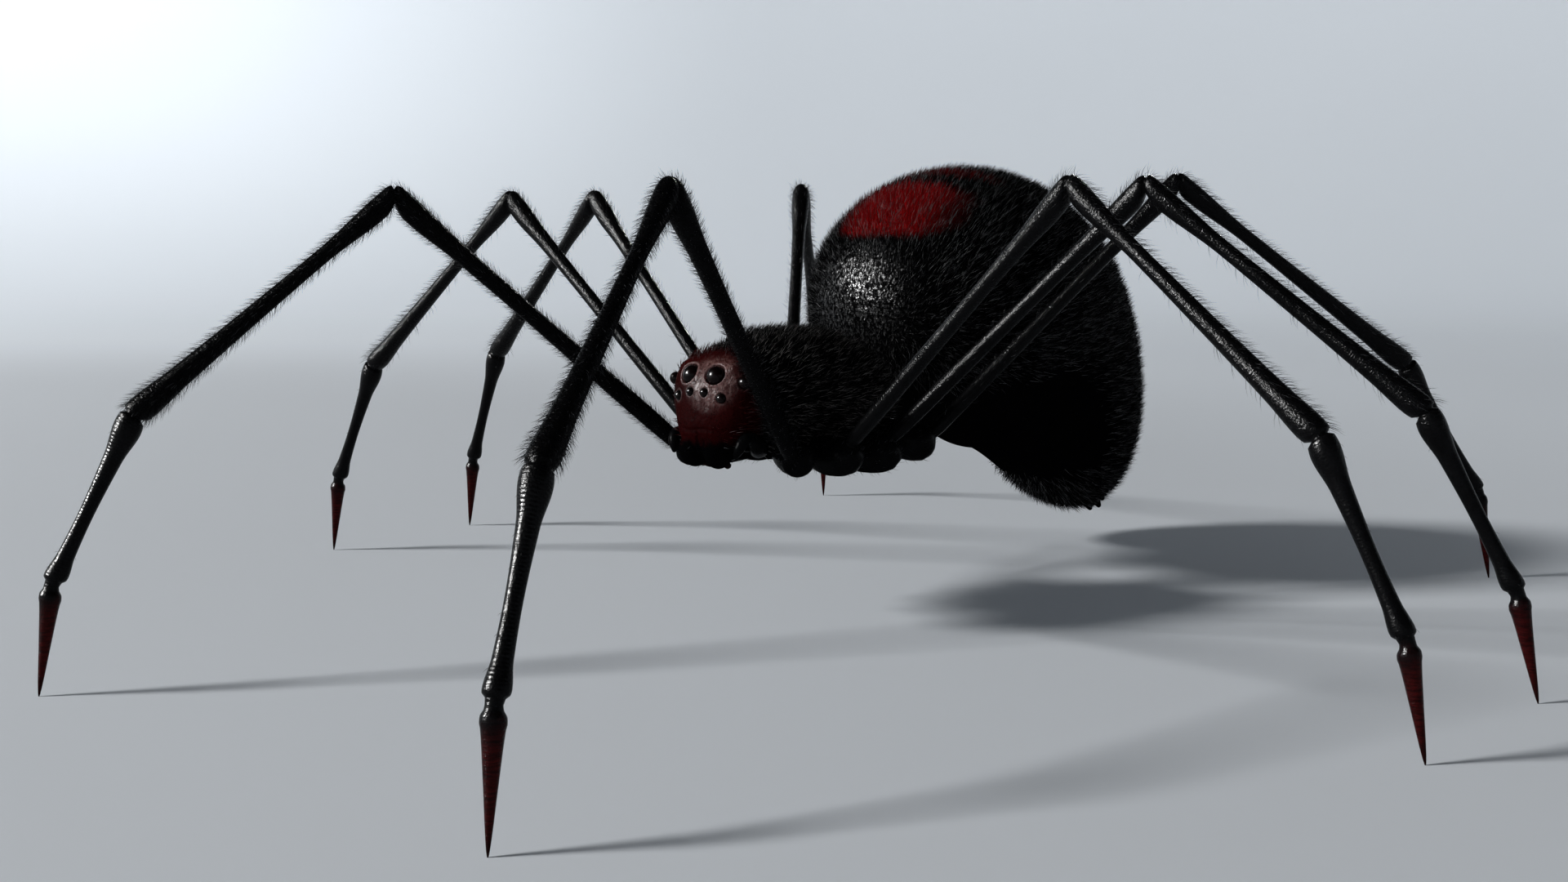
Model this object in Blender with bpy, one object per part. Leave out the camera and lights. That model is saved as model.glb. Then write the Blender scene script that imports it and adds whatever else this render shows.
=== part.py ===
"""A black widow spider, life size, standing still on its eight tarsi.

Metres, +Z up, the head towards -Y and the spider's own left side at +X. The floor is at z = 0.
Every solid reaches out to the tips of the short coat that covers it.
"""
import math

import bmesh
import bpy
from mathutils import Matrix, Vector

MM = 0.001

# Fit of the solids
GAP = 0.05 * MM  # kept between neighbours, a tenth of a leg's thickness
LEAST_RADIUS = 0.25 * MM  # half the least thickness of a leg

# How far the coat stands out from the skin
HEAD_COAT = 0.04 * MM
BODY_COAT = 0.15 * MM
COXA_COAT = 0.05 * MM
LEG_COAT = 0.07 * MM
FOOT_COAT = 0.04 * MM
THIN_BELOW = 0.80  # the body's coat is thinner by this share underneath

# Carapace: half widths, tops and undersides of its sections, as (y, half width, top, underside)
CARAPACE = (
    (-1.87, 1.09, 5.44, 3.34),
    (-0.95, 1.34, 5.66, 3.24),
    (0.00, 1.52, 5.68, 3.20),
    (0.95, 1.46, 5.42, 3.22),
    (1.60, 1.26, 5.02, 3.34),
    (2.20, 0.90, 4.66, 3.60),
)
FACE_Y = -2.90 * MM
NECK_Y = -1.87 * MM  # where the head is parted from the thorax
HEAD_MIDDLE = Vector((0.0, NECK_Y, 4.40 * MM))
TAIL_ROUNDING_Y = 1.20 * MM  # the thorax rounds off behind this
THORAX_END_Y = 2.35 * MM
SECTION_POWER = 2.4  # 2 is an ellipse, more is squarer
FACE_POWER = 2.3  # how squarely the brow rounds off
CHIN_POWER = 4.5  # the same below the middle, where the face stands upright
TAIL_POWER = 2.2
FLANK_TUCK = 0.22  # the flanks draw in towards the underside by this share
SECTION_SIDES = 32
HEAD_RINGS = 14
THORAX_RINGS = 14

# Low swellings of the brow round the eyes, as ((x, y, z) of the left one, height, spread)
SWELLINGS = (
    ((0.64, -2.54, 5.18), 0.055, 0.26),
    ((0.66, -2.56, 5.19), 0.060, 0.13),
    ((0.88, -2.45, 4.87), 0.040, 0.20),
)

# Abdomen: a bent teardrop swept along an arc of three control points, as (y, z)
ABDOMEN_FRONT = Vector((0.0, 2.87 * MM, 4.62 * MM))
ABDOMEN_CROWN = Vector((0.0, 7.81 * MM, 8.63 * MM))
ABDOMEN_TIP = Vector((0.0, 11.18 * MM, 1.05 * MM))
ABDOMEN_RADII = (4.67 * MM, 1.56 * MM, 2.94 * MM)  # towards the front, the crown and the tip
ABDOMEN_WIDENING = 1.02
BELLY_FILL = 0.60 * MM  # how much fuller the underside is than the arc makes it
BELLY_FROM = 0.20  # where along the arc that begins
ABDOMEN_RINGS = 26
ABDOMEN_SIDES = 32

# Waist and spinnerets
WAIST_FROM = Vector((0.0, 1.70 * MM, 4.20 * MM))
WAIST_TO = Vector((0.0, 3.45 * MM, 4.62 * MM))
WAIST_RADIUS = 0.40 * MM
SPINNERET_ROOT = Vector((0.0, 11.50 * MM, 1.27 * MM))
SPINNERET_AIM = Vector((0.0, 0.68, -0.73))
SPINNERET_LENGTH = 0.60 * MM
SPINNERET_RADIUS = 0.17 * MM
SPINNERET_CIRCLE = 0.24 * MM
SPINNERETS = 6

# Eyes, as name, centre of the left ball, radius, and whether a raised rim circles it
EYES = (
    ("main", (0.298, -2.655, 4.960), 0.190, True),
    ("side", (0.866, -2.515, 4.868), 0.120, False),
    ("inner", (0.171, -2.850, 4.672), 0.085, False),
    ("outer", (0.522, -2.780, 4.578), 0.095, False),
)
EYE_GAP = 0.03 * MM
WELL_DEPTH = 0.04 * MM  # how much further out a main eye's socket stays open
RIM_RADIUS = 0.035 * MM
RIM_SPREAD = 1.20  # the rim's circle as a multiple of the eye's radius

# Mouthparts of the left side
CHELICERA_CENTRE = Vector((0.29, -2.60, 3.60)) * MM
CHELICERA_RADII = (0.27, 0.35, 0.42)
FANG_PATH = ((0.25, -2.34, 3.30, 0.075), (0.17, -2.20, 3.25, 0.055), (0.09, -2.08, 3.26, 0.030))
PALP_PATH = (
    (0.70, -2.00, 3.60, 0.22),
    (0.86, -2.24, 3.68, 0.19),
    (0.93, -2.46, 3.86, 0.13),
    (0.91, -2.62, 3.86, 0.12),
    (0.85, -2.72, 3.68, 0.12),
    (0.80, -2.75, 3.52, 0.07),
)

# Joints of the left legs: root, knee, ankle, tarsus joint and tip
LEG_JOINTS = (
    ((1.34, -1.61, 3.29), (3.35, -7.04, 8.23), (4.99, -11.19, 4.57), (5.53, -12.46, 1.83),
     (5.65, -12.71, 0.0)),
    ((1.75, -0.77, 3.47), (6.87, -1.31, 8.33), (11.35, -1.69, 4.58), (12.79, -1.77, 1.74),
     (13.11, -1.74, 0.0)),
    ((1.74, 0.47, 3.45), (6.91, 1.20, 8.40), (11.54, 2.18, 4.66), (13.02, 2.54, 1.77),
     (13.38, 2.68, 0.0)),
    ((1.73, 1.80, 3.38), (4.97, 6.20, 8.64), (8.12, 10.77, 4.81), (9.25, 12.42, 1.94),
     (9.47, 12.73, 0.0)),
)

# Coxae of the left legs: inner end, middle and radius of the bulb under the leg's root
COXAE = (
    ((0.45, -1.05, 3.45), (1.34, -1.53, 3.37), 0.33),
    ((0.50, -0.45, 3.45), (1.75, -0.73, 3.35), 0.37),
    ((0.50, 0.40, 3.45), (1.76, 0.42, 3.32), 0.40),
    ((0.45, 1.05, 3.80), (1.72, 1.56, 3.41), 0.33),
)
TROCHANTER = 0.32 * MM  # how far past the root a coxa reaches along the femur

# Skin radii along a leg's segments, as (share of the length, radius)
FEMUR_PROFILE = ((0.0, 0.13), (0.03, 0.155), (0.15, 0.165), (0.60, 0.138), (0.80, 0.155),
                 (0.94, 0.212), (0.98, 0.205), (1.0, 0.16))
TIBIA_PROFILE = ((0.0, 0.15), (0.02, 0.19), (0.06, 0.195), (0.28, 0.132), (0.58, 0.153), (0.84, 0.19),
                 (0.965, 0.232), (0.99, 0.215), (1.0, 0.17))
METATARSUS_PROFILE = ((0.0, 0.17), (0.025, 0.225), (0.07, 0.235), (0.25, 0.16), (0.60, 0.122),
                      (0.85, 0.14), (0.965, 0.187), (0.985, 0.18), (1.0, 0.13))
TARSUS_PROFILE = ((0.0, 0.12), (0.035, 0.125), (0.10, 0.178), (0.13, 0.175), (0.50, 0.10), (1.0, 0.02))
SEGMENTS = (
    ("femur", FEMUR_PROFILE, LEG_COAT),
    ("tibia", TIBIA_PROFILE, LEG_COAT),
    ("metatarsus", METATARSUS_PROFILE, FOOT_COAT),
    ("tarsus", TARSUS_PROFILE, FOOT_COAT),
)
LEG_SIDES = 12
TIP_RADIUS = 0.05 * MM  # the small flat on which a leg stands
KNEE_RELIEF = 0.35  # how fast the knee's faces part below its middle
LEAN_POWER = 4  # how soon a mitred end's slant dies out along a segment

# Colours as linear red, green, blue, with roughness
BLACK_COAT = ((0.010, 0.010, 0.011), 0.45)
BLACK_SHELL = ((0.012, 0.012, 0.013), 0.30)
RED_BROWN = ((0.105, 0.020, 0.014), 0.38)
CLAW_RED = ((0.120, 0.012, 0.010), 0.35)
EYE_BLACK = ((0.004, 0.004, 0.005), 0.08)
DARK_SKIN = ((0.020, 0.012, 0.012), 0.55)


def clear_scene():
    for obj in list(bpy.data.objects):
        bpy.data.objects.remove(obj, do_unlink=True)


def material(name, look):
    """A Principled surface, made once for each name."""
    if name in bpy.data.materials:
        return bpy.data.materials[name]
    colour, roughness = look
    made = bpy.data.materials.new(name)
    made.use_nodes = True
    shader = made.node_tree.nodes["Principled BSDF"]
    shader.inputs["Base Color"].default_value = (*colour, 1.0)
    shader.inputs["Roughness"].default_value = roughness
    shader.inputs["Metallic"].default_value = 0.0
    return made


def add_object(name, bm, surface=None):
    """Turns a bmesh into a named object with outward faces and smooth round sides."""
    bmesh.ops.recalc_face_normals(bm, faces=bm.faces)
    mesh = bpy.data.meshes.new(name)
    bm.to_mesh(mesh)
    bm.free()
    mesh.shade_smooth()
    mesh.set_sharp_from_angle(angle=math.radians(50))
    if surface:
        mesh.materials.append(surface)
    obj = bpy.data.objects.new(name, mesh)
    bpy.context.scene.collection.objects.link(obj)
    return obj


def loft(rings, first_pole=None, last_pole=None):
    """Joins rings of points into a closed surface. An end with no pole is closed flat."""
    bm = bmesh.new()
    loops = [[bm.verts.new(point) for point in ring] for ring in rings]
    sides = len(loops[0])
    for near, far in zip(loops, loops[1:]):
        for i in range(sides):
            j = (i + 1) % sides
            bm.faces.new((near[i], near[j], far[j], far[i]))
    for loop, pole in ((loops[0], first_pole), (loops[-1], last_pole)):
        if pole is None:
            bm.faces.new(loop)
            continue
        tip = bm.verts.new(pole)
        for i in range(sides):
            bm.faces.new((loop[i], loop[(i + 1) % sides], tip))
    return bm


def ellipsoid(centre, radii, segments=16, rings=10):
    bm = bmesh.new()
    place = Matrix.Translation(centre) @ Matrix.Diagonal((*radii, 1.0))
    bmesh.ops.create_uvsphere(bm, u_segments=segments, v_segments=rings, radius=1.0, matrix=place)
    return bm


def as_cutter(obj):
    """Keeps a helper out of the model while Booleans read it."""
    obj.hide_render = True
    obj.display_type = "WIRE"
    return obj


def boolean(obj, other, operation):
    modifier = obj.modifiers.new(f"{operation.title()} {other.name}", "BOOLEAN")
    modifier.operation = operation
    modifier.solver = "EXACT"
    modifier.object = other


def blend(stations, y):
    """A smooth value for each column of the stations at y, all in metres."""
    if y <= stations[0][0] * MM:
        return [value * MM for value in stations[0][1:]]
    for before, after in zip(stations, stations[1:]):
        if y <= after[0] * MM:
            t = (y / MM - before[0]) / (after[0] - before[0])
            return [(a + (b - a) * t) * MM for a, b in zip(before[1:], after[1:])]
    return [value * MM for value in stations[-1][1:]]


def closing(y, start, end, power):
    """1 up to start, falling to 0 at end as a superellipse does."""
    share = max(0.0, (y - start) / (end - start))
    return max(0.0, 1.0 - share ** power) ** (1.0 / power)


def section(y, coat, extra, squeeze, low_squeeze):
    """One ring of the carapace at y, shrunk to its middle by the two squeezes and then grown.

    low_squeeze takes over from squeeze below the middle, where the coat thins too.
    """
    half_width, top, underside = blend(CARAPACE, y)
    middle = (top + underside) / 2
    ring = []
    for i in range(SECTION_SIDES):
        angle = 2 * math.pi * i / SECTION_SIDES
        across = math.copysign(abs(math.cos(angle)) ** (2 / SECTION_POWER), math.cos(angle))
        up = math.copysign(abs(math.sin(angle)) ** (2 / SECTION_POWER), math.sin(angle))
        low = max(0.0, -up)
        tuck = 1.0 - FLANK_TUCK * low ** 0.6
        wide = squeeze + (low_squeeze - squeeze) * low * 0.6
        high = squeeze if up >= 0 else low_squeeze
        grow = coat * (1.0 - THIN_BELOW * min(1.0, 1.5 * low)) + extra
        x = across * (half_width * wide * tuck + grow)
        z = middle + up * ((top - middle) * high + grow)
        ring.append(Vector((x, y, z)))
    return ring


def eased(start, end, count):
    """Steps from start that crowd towards end, where a form rounds off."""
    return [start + (end - start) * math.sin(0.5 * math.pi * i / count) for i in range(count)]


def middle_of(y):
    _, top, underside = blend(CARAPACE, y)
    return Vector((0.0, y, (top + underside) / 2))


def swollen(point):
    """The point moved out from the head's middle by the brow's swellings."""
    rise = 0.0
    for (x, y, z), height, spread in SWELLINGS:
        for side in (1, -1):
            away = (point - Vector((side * x, y, z)) * MM).length / (spread * MM)
            rise += height * MM * math.exp(-away * away)
    return point + (point - HEAD_MIDDLE).normalized() * rise


def head_surface(extra, start_y):
    """The head's rings run from the neck to the face and close at a point on it."""
    rings = []
    for y in eased(start_y, FACE_Y, HEAD_RINGS):
        squeeze = closing(y, NECK_Y, FACE_Y, FACE_POWER)
        low_squeeze = closing(y, NECK_Y, FACE_Y, CHIN_POWER)
        rings.append([swollen(point) for point in section(y, HEAD_COAT, extra, squeeze, low_squeeze)])
    return loft(rings, last_pole=middle_of(FACE_Y) + Vector((0.0, -HEAD_COAT - extra, 0.0)))


def thorax_surface(extra, start_y):
    ys = [start_y, -1.2 * MM, -0.5 * MM, 0.2 * MM, *eased(0.8 * MM, THORAX_END_Y, THORAX_RINGS - 4)]
    rings = []
    for y in ys:
        squeeze = closing(y, TAIL_ROUNDING_Y, THORAX_END_Y, TAIL_POWER)
        rings.append(section(y, BODY_COAT, extra, squeeze, squeeze))
    return loft(rings, last_pole=middle_of(THORAX_END_Y) + Vector((0.0, BODY_COAT + extra, 0.0)))


def skin_distance(start, outward):
    """How far the head's bare skin lies from a point inside it, along a direction."""
    half_width, top, underside = blend(CARAPACE, NECK_Y)
    middle = (top + underside) / 2
    near, far = 0.0, 2.0 * MM
    for _ in range(40):
        reach = (near + far) / 2
        point = start + outward * reach
        squeeze = closing(point.y, NECK_Y, FACE_Y, FACE_POWER)
        low_squeeze = closing(point.y, NECK_Y, FACE_Y, CHIN_POWER)
        high = squeeze if point.z >= middle else low_squeeze
        up = (point.z - middle) / max(1e-9, (top - middle) * high)
        low = min(1.0, max(0.0, -up))
        wide = squeeze + (low_squeeze - squeeze) * low * 0.6
        across = point.x / max(1e-9, half_width * wide * (1.0 - FLANK_TUCK * low ** 0.6))
        inside = abs(across) ** SECTION_POWER + abs(up) ** SECTION_POWER < 1.0
        near, far = (reach, far) if inside else (near, reach)
    spot = start + outward * near
    return near + (swollen(spot) - spot).dot(outward)


def abdomen_surface(extra):
    """Rings stand square to the arc, and their radius follows a rounded taper to the tip.

    The coat thins over the hollow underside, between the front and the tip.
    """
    rings, coats = [], []
    for i in range(1, ABDOMEN_RINGS):
        s = (1 - math.cos(math.pi * i / ABDOMEN_RINGS)) / 2
        weights = ((1 - s) ** 2, 2 * s * (1 - s), s ** 2)
        points = (ABDOMEN_FRONT, ABDOMEN_CROWN, ABDOMEN_TIP)
        centre = sum((p * w for p, w in zip(points, weights)), Vector())
        along = ((points[1] - points[0]) * (1 - s) + (points[2] - points[1]) * s).normalized()
        square = Vector((0.0, -along.z, along.y))
        radius = math.sqrt(1 - (2 * s - 1) ** 2) * sum(r * w for r, w in zip(ABDOMEN_RADII, weights))
        fill = BELLY_FILL * math.sin(math.pi * max(0.0, (s - BELLY_FROM) / (1 - BELLY_FROM))) ** 2
        ring = []
        for k in range(ABDOMEN_SIDES):
            angle = 2 * math.pi * k / ABDOMEN_SIDES
            across = Vector((ABDOMEN_WIDENING * radius * math.cos(angle), 0.0, 0.0))
            height = radius * math.sin(angle) - fill * max(0.0, -math.sin(angle))
            ring.append(centre + across + square * height)
            bare = min(1.0, max(0.0, -2.0 * math.sin(angle) - 0.4)) * math.sin(math.pi * s) ** 0.5
            coats.append(BODY_COAT * (1.0 - THIN_BELOW * bare) + extra)
        rings.append(ring)
    bm = loft(rings, first_pole=ABDOMEN_FRONT, last_pole=ABDOMEN_TIP)
    bmesh.ops.recalc_face_normals(bm, faces=bm.faces)
    bm.normal_update()
    coats += [BODY_COAT + extra] * 2  # the two poles
    for vertex, outward, grow in [(v, v.normal.copy(), c) for v, c in zip(bm.verts, coats)]:
        vertex.co += outward * grow
    return bm


def ring_round(centre, along, radius, sides):
    turn = along.to_track_quat("X", "Z")
    steps = (2 * math.pi * i / sides for i in range(sides))
    return [centre + turn @ Vector((0.0, radius * math.cos(a), radius * math.sin(a))) for a in steps]


def tube(path, sides, grow=0.0):
    """A round tapering tube through (x, y, z, radius) points, rounded at both ends."""
    centres = [Vector(point[:3]) * MM for point in path]
    radii = [point[3] * MM + grow for point in path]
    rings = []
    for i, (centre, radius) in enumerate(zip(centres, radii)):
        before = centres[max(0, i - 1)]
        after = centres[min(len(centres) - 1, i + 1)]
        rings.append(ring_round(centre, (after - before).normalized(), radius, sides))
    first = centres[0] - (centres[1] - centres[0]).normalized() * radii[0] * 0.8
    last = centres[-1] + (centres[-1] - centres[-2]).normalized() * radii[-1] * 0.8
    return loft(rings, first_pole=first, last_pole=last)


def leg_segment(name, start, end, face_in, face_out, profile, coat, relief, surface):
    """A straight tapering segment whose ends are cut on the planes that it shares with its neighbours.

    face_in and face_out are the normals of those planes. The mesh runs along its own +X from its
    origin, and the object is placed at the joint and turned along the segment.
    """
    along = (end - start).normalized()
    turn = along.to_track_quat("X", "Z")
    normal_in = turn.inverted() @ face_in
    normal_out = turn.inverted() @ face_out
    length = (end - start).length
    rings = []
    for share, bare_radius in profile:
        radius = max(bare_radius * MM + coat, LEAST_RADIUS)
        if name.endswith("tarsus") and not name.endswith("metatarsus"):
            radius = TIP_RADIUS + (radius - TIP_RADIUS) * min(1.0, (1.0 - share) / 0.87)
        elif share in (0.0, 1.0):
            radius *= 0.8
        ring = []
        for i in range(LEG_SIDES):
            angle = 2 * math.pi * i / LEG_SIDES
            y, z = radius * math.cos(angle), radius * math.sin(angle)
            slant_in = -(normal_in.y * y + normal_in.z * z) / normal_in.x * (1 - share) ** LEAN_POWER
            slant_out = -(normal_out.y * y + normal_out.z * z) / normal_out.x * share ** LEAN_POWER
            below = max(0.0, -z - 0.2 * radius)
            opened = below * (relief[0] * (1 - share) ** 8 - relief[1] * share ** 8)
            x = share * length + slant_in + slant_out + opened
            x += GAP / 2 * (1 - 2 * share)
            ring.append(Vector((x, y, z)))
        rings.append(ring)
    obj = add_object(name, loft(rings), surface)
    obj.rotation_mode = "QUATERNION"
    obj.rotation_quaternion = turn
    obj.location = start
    return obj


def make_coxa(name, side, inner, bulb, radius, root, along, thorax_cutter):
    """A bulb under the leg's root that reaches in to the thorax and turns up into the femur."""
    flip = Vector((side, 1.0, 1.0))
    inner = Vector(inner) * MM * flip
    bulb = Vector(bulb) * MM * flip
    end = root + along * (TROCHANTER - GAP / 2)
    path = (
        (inner, 0.55),
        (inner.lerp(bulb, 0.35), 0.85),
        (inner.lerp(bulb, 0.75), 1.0),
        (bulb.lerp(end, 0.22), 1.0),
        (bulb.lerp(end, 0.62), 0.86),
    )
    full = radius * MM + COXA_COAT
    centres = [point for point, _ in path] + [end]
    rings = []
    for i, (centre, share) in enumerate(path):
        tangent = (centres[i + 1] - centres[max(0, i - 1)]).normalized()
        rings.append(ring_round(centre, tangent, full * share, LEG_SIDES + 2))
    rings.append(ring_round(end, along, LEAST_RADIUS * 0.85, LEG_SIDES + 2))
    coxa = add_object(name, loft(rings), SHELL)
    boolean(coxa, thorax_cutter, "DIFFERENCE")
    return coxa


def make_leg(number, side, joints, coxa_shape, thorax_cutter):
    """The five segments of one leg, hung from an empty at its root."""
    label = f"leg{number}_{'left' if side > 0 else 'right'}"
    points = [Vector((side * x, y, z)) * MM for x, y, z in joints]
    root = bpy.data.objects.new(f"{label}_root", None)
    root.location = points[0]
    bpy.context.scene.collection.objects.link(root)
    along = [(b - a).normalized() for a, b in zip(points, points[1:])]
    faces = [along[0]] + [(a + b).normalized() for a, b in zip(along, along[1:])]
    faces.append(Vector((0.0, 0.0, -1.0)))
    coxa = make_coxa(f"{label}_coxa", side, *coxa_shape, points[0], along[0], thorax_cutter)
    coxa.parent = root
    coxa.location -= points[0]
    starts = [points[0] + along[0] * TROCHANTER, *points[1:]]
    for i, (part_name, profile, coat) in enumerate(SEGMENTS):
        relief = {"femur": (0.0, KNEE_RELIEF), "tibia": (KNEE_RELIEF, 0.0)}.get(part_name, (0.0, 0.0))
        look = RED_TIPPED if part_name == "tarsus" else SHELL
        obj = leg_segment(f"{label}_{part_name}", starts[i], points[i + 1], faces[i], faces[i + 1],
                          profile, coat, relief, look)
        obj.parent = root
        obj.location -= points[0]


def make_eyes(head, surface):
    """Each eye is a ball sunk in a socket of the face. A raised rim circles the two main eyes."""
    for kind, centre, radius, rimmed in EYES:
        for side in (1, -1):
            name = f"eye_{kind}_{'left' if side > 0 else 'right'}"
            middle = Vector((side * centre[0], centre[1], centre[2])) * MM
            outward = (middle - HEAD_MIDDLE).normalized()
            segments, rings = (16, 10) if rimmed else (12, 8)
            if rimmed:
                seat = middle + outward * (skin_distance(middle, outward) + HEAD_COAT * 0.6)
                boolean(head, make_rim(f"{name}_rim", seat, outward, radius * MM), "UNION")
            well = WELL_DEPTH if rimmed else 0.0
            wide = radius * MM + EYE_GAP
            bm = ellipsoid((0.0, 0.0, 0.0), (wide, wide, wide + well), segments, rings)
            bmesh.ops.rotate(bm, verts=bm.verts, matrix=outward.to_track_quat("Z", "Y").to_matrix())
            bmesh.ops.translate(bm, verts=bm.verts, vec=middle + outward * well)
            boolean(head, as_cutter(add_object(f"{name}_socket", bm)), "DIFFERENCE")
            ball = (radius * MM,) * 3
            add_object(name, ellipsoid(middle, ball, segments, rings), surface)


def make_rim(name, seat, outward, eye_radius):
    """A raised ring that lies on the face round an eye."""
    bm = bmesh.new()
    across = outward.orthogonal().normalized()
    other = outward.cross(across)
    steps, sides = 16, 6
    loops = []
    for i in range(steps):
        angle = 2 * math.pi * i / steps
        spoke = across * math.cos(angle) + other * math.sin(angle)
        centre = seat + spoke * eye_radius * RIM_SPREAD
        inside = centre - outward * 0.3 * MM
        centre = inside + outward * (skin_distance(inside, outward) + HEAD_COAT * 0.6)
        loop = []
        for k in range(sides):
            turn = 2 * math.pi * k / sides
            offset = spoke * math.cos(turn) + outward * math.sin(turn)
            loop.append(bm.verts.new(centre + offset * RIM_RADIUS))
        loops.append(loop)
    for i in range(steps):
        near, far = loops[i], loops[(i + 1) % steps]
        for k in range(sides):
            bm.faces.new((near[k], near[(k + 1) % sides], far[(k + 1) % sides], far[k]))
    return as_cutter(add_object(name, bm))


def make_mouthparts(head_cutter, shell, dark):
    for side in (1, -1):
        word = "left" if side > 0 else "right"
        flip = Vector((side, 1.0, 1.0))
        centre = CHELICERA_CENTRE * flip
        radii = tuple(r * MM for r in CHELICERA_RADII)
        chelicera = add_object(f"chelicera_{word}", ellipsoid(centre, radii), shell)
        boolean(chelicera, head_cutter, "DIFFERENCE")
        grown = tuple(r + GAP for r in radii)
        clearance = as_cutter(add_object(f"chelicera_{word}_space", ellipsoid(centre, grown)))
        fang_path = [(side * x, y, z, r) for x, y, z, r in FANG_PATH]
        fang = add_object(f"fang_{word}", tube(fang_path, 8), dark)
        boolean(fang, clearance, "DIFFERENCE")
        palp_path = [(side * x, y, z, r) for x, y, z, r in PALP_PATH]
        palp = add_object(f"palp_{word}", tube(palp_path, 10, FOOT_COAT), shell)
        boolean(palp, head_cutter, "DIFFERENCE")


def make_spinnerets(abdomen_cutter, surface):
    """A ring of short cones on one low mound, behind and below the abdomen's tip."""
    aim = SPINNERET_AIM.normalized()
    mound_end = SPINNERET_ROOT + aim * SPINNERET_LENGTH * 0.60
    rings = [
        ring_round(SPINNERET_ROOT - aim * SPINNERET_LENGTH * 0.6, aim, SPINNERET_CIRCLE * 1.8, 12),
        ring_round(mound_end, aim, SPINNERET_CIRCLE * 1.3, 12),
    ]
    mound = add_object("spinnerets", loft(rings), surface)
    across = aim.orthogonal().normalized()
    other = aim.cross(across)
    for i in range(SPINNERETS):
        angle = 2 * math.pi * (i + 0.5) / SPINNERETS
        offset = (across * math.cos(angle) + other * math.sin(angle)) * SPINNERET_CIRCLE
        foot = SPINNERET_ROOT + offset * 0.8
        tip = SPINNERET_ROOT + offset * 1.05 + aim * SPINNERET_LENGTH
        wide, narrow = SPINNERET_RADIUS * 0.9, SPINNERET_RADIUS * 0.45
        cone = loft([ring_round(foot, aim, wide, 8), ring_round(tip, aim, narrow, 8)])
        boolean(mound, as_cutter(add_object(f"spinneret_cone_{i + 1}", cone)), "UNION")
    boolean(mound, abdomen_cutter, "DIFFERENCE")


clear_scene()
COAT = material("black coat", BLACK_COAT)
SHELL = material("black shell", BLACK_SHELL)
RED_TIPPED = material("red brown tarsus", CLAW_RED)

FACE = material("red brown face", RED_BROWN)

head = add_object("head", head_surface(0.0, NECK_Y - GAP / 2), FACE)
thorax = add_object("thorax", thorax_surface(0.0, NECK_Y + GAP / 2), COAT)
abdomen = add_object("abdomen", abdomen_surface(0.0), COAT)

head_space = as_cutter(add_object("head_space", head_surface(GAP, NECK_Y + GAP)))
thorax_space = as_cutter(add_object("thorax_space", thorax_surface(GAP, NECK_Y - GAP)))
abdomen_space = as_cutter(add_object("abdomen_space", abdomen_surface(GAP)))

waist_along = (WAIST_TO - WAIST_FROM).normalized()
waist_rings = [ring_round(p, waist_along, WAIST_RADIUS, 16) for p in (WAIST_FROM, WAIST_TO)]
waist = add_object("waist", loft(waist_rings), SHELL)
boolean(waist, thorax_space, "DIFFERENCE")
boolean(waist, abdomen_space, "DIFFERENCE")

make_eyes(head, material("eye", EYE_BLACK))
make_mouthparts(head_space, SHELL, material("fang", DARK_SKIN))
make_spinnerets(abdomen_space, material("spinneret", DARK_SKIN))
for number, (joints, coxa_shape) in enumerate(zip(LEG_JOINTS, COXAE), 1):
    for side in (1, -1):
        make_leg(number, side, joints, coxa_shape, thorax_space)
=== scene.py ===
"""Looks of a life-size black widow spider, standing still: skin, eyes, fangs and a short coat.

Shapes are worked out in millimetres and turned into metres where a mesh is made. +Z is up, the
head points towards -Y and the spider's own left side is at +X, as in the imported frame.
"""
import math

import bpy
import numpy as np
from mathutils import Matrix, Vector


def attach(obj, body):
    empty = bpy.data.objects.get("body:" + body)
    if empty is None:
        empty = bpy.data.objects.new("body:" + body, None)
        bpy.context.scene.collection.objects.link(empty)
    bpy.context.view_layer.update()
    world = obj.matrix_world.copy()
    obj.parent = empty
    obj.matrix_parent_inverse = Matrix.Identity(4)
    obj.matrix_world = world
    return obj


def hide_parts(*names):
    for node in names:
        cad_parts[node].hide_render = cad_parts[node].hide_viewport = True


MM = 0.001

# Carapace sections, as (y, half width, top, underside)
CARAPACE = np.array((
    (-2.90, 1.09, 5.44, 3.34),
    (-1.87, 1.09, 5.44, 3.34),
    (-0.95, 1.34, 5.66, 3.24),
    (0.00, 1.52, 5.68, 3.20),
    (0.95, 1.46, 5.42, 3.22),
    (1.60, 1.26, 5.02, 3.34),
    (2.35, 0.84, 4.60, 3.66),
))
FACE_Y = -2.90
NECK_Y = -1.87
HEAD_MIDDLE = np.array((0.0, NECK_Y, 4.40))
TAIL_ROUNDING_Y = 1.20
THORAX_END_Y = 2.35
SECTION_POWER = 2.4
FACE_POWER = 2.3
CHIN_POWER = 4.5
TAIL_POWER = 2.2
FLANK_TUCK = 0.22
CARAPACE_SIDES = 176
HEAD_ROWS = 100
THORAX_ROWS = 46

# Low swellings of the brow, as (centre on the left side, height, spread)
SWELLINGS = (
    ((0.64, -2.54, 5.18), 0.055, 0.26),
    ((0.66, -2.56, 5.19), 0.060, 0.13),
    ((0.88, -2.45, 4.87), 0.040, 0.20),
)

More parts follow.
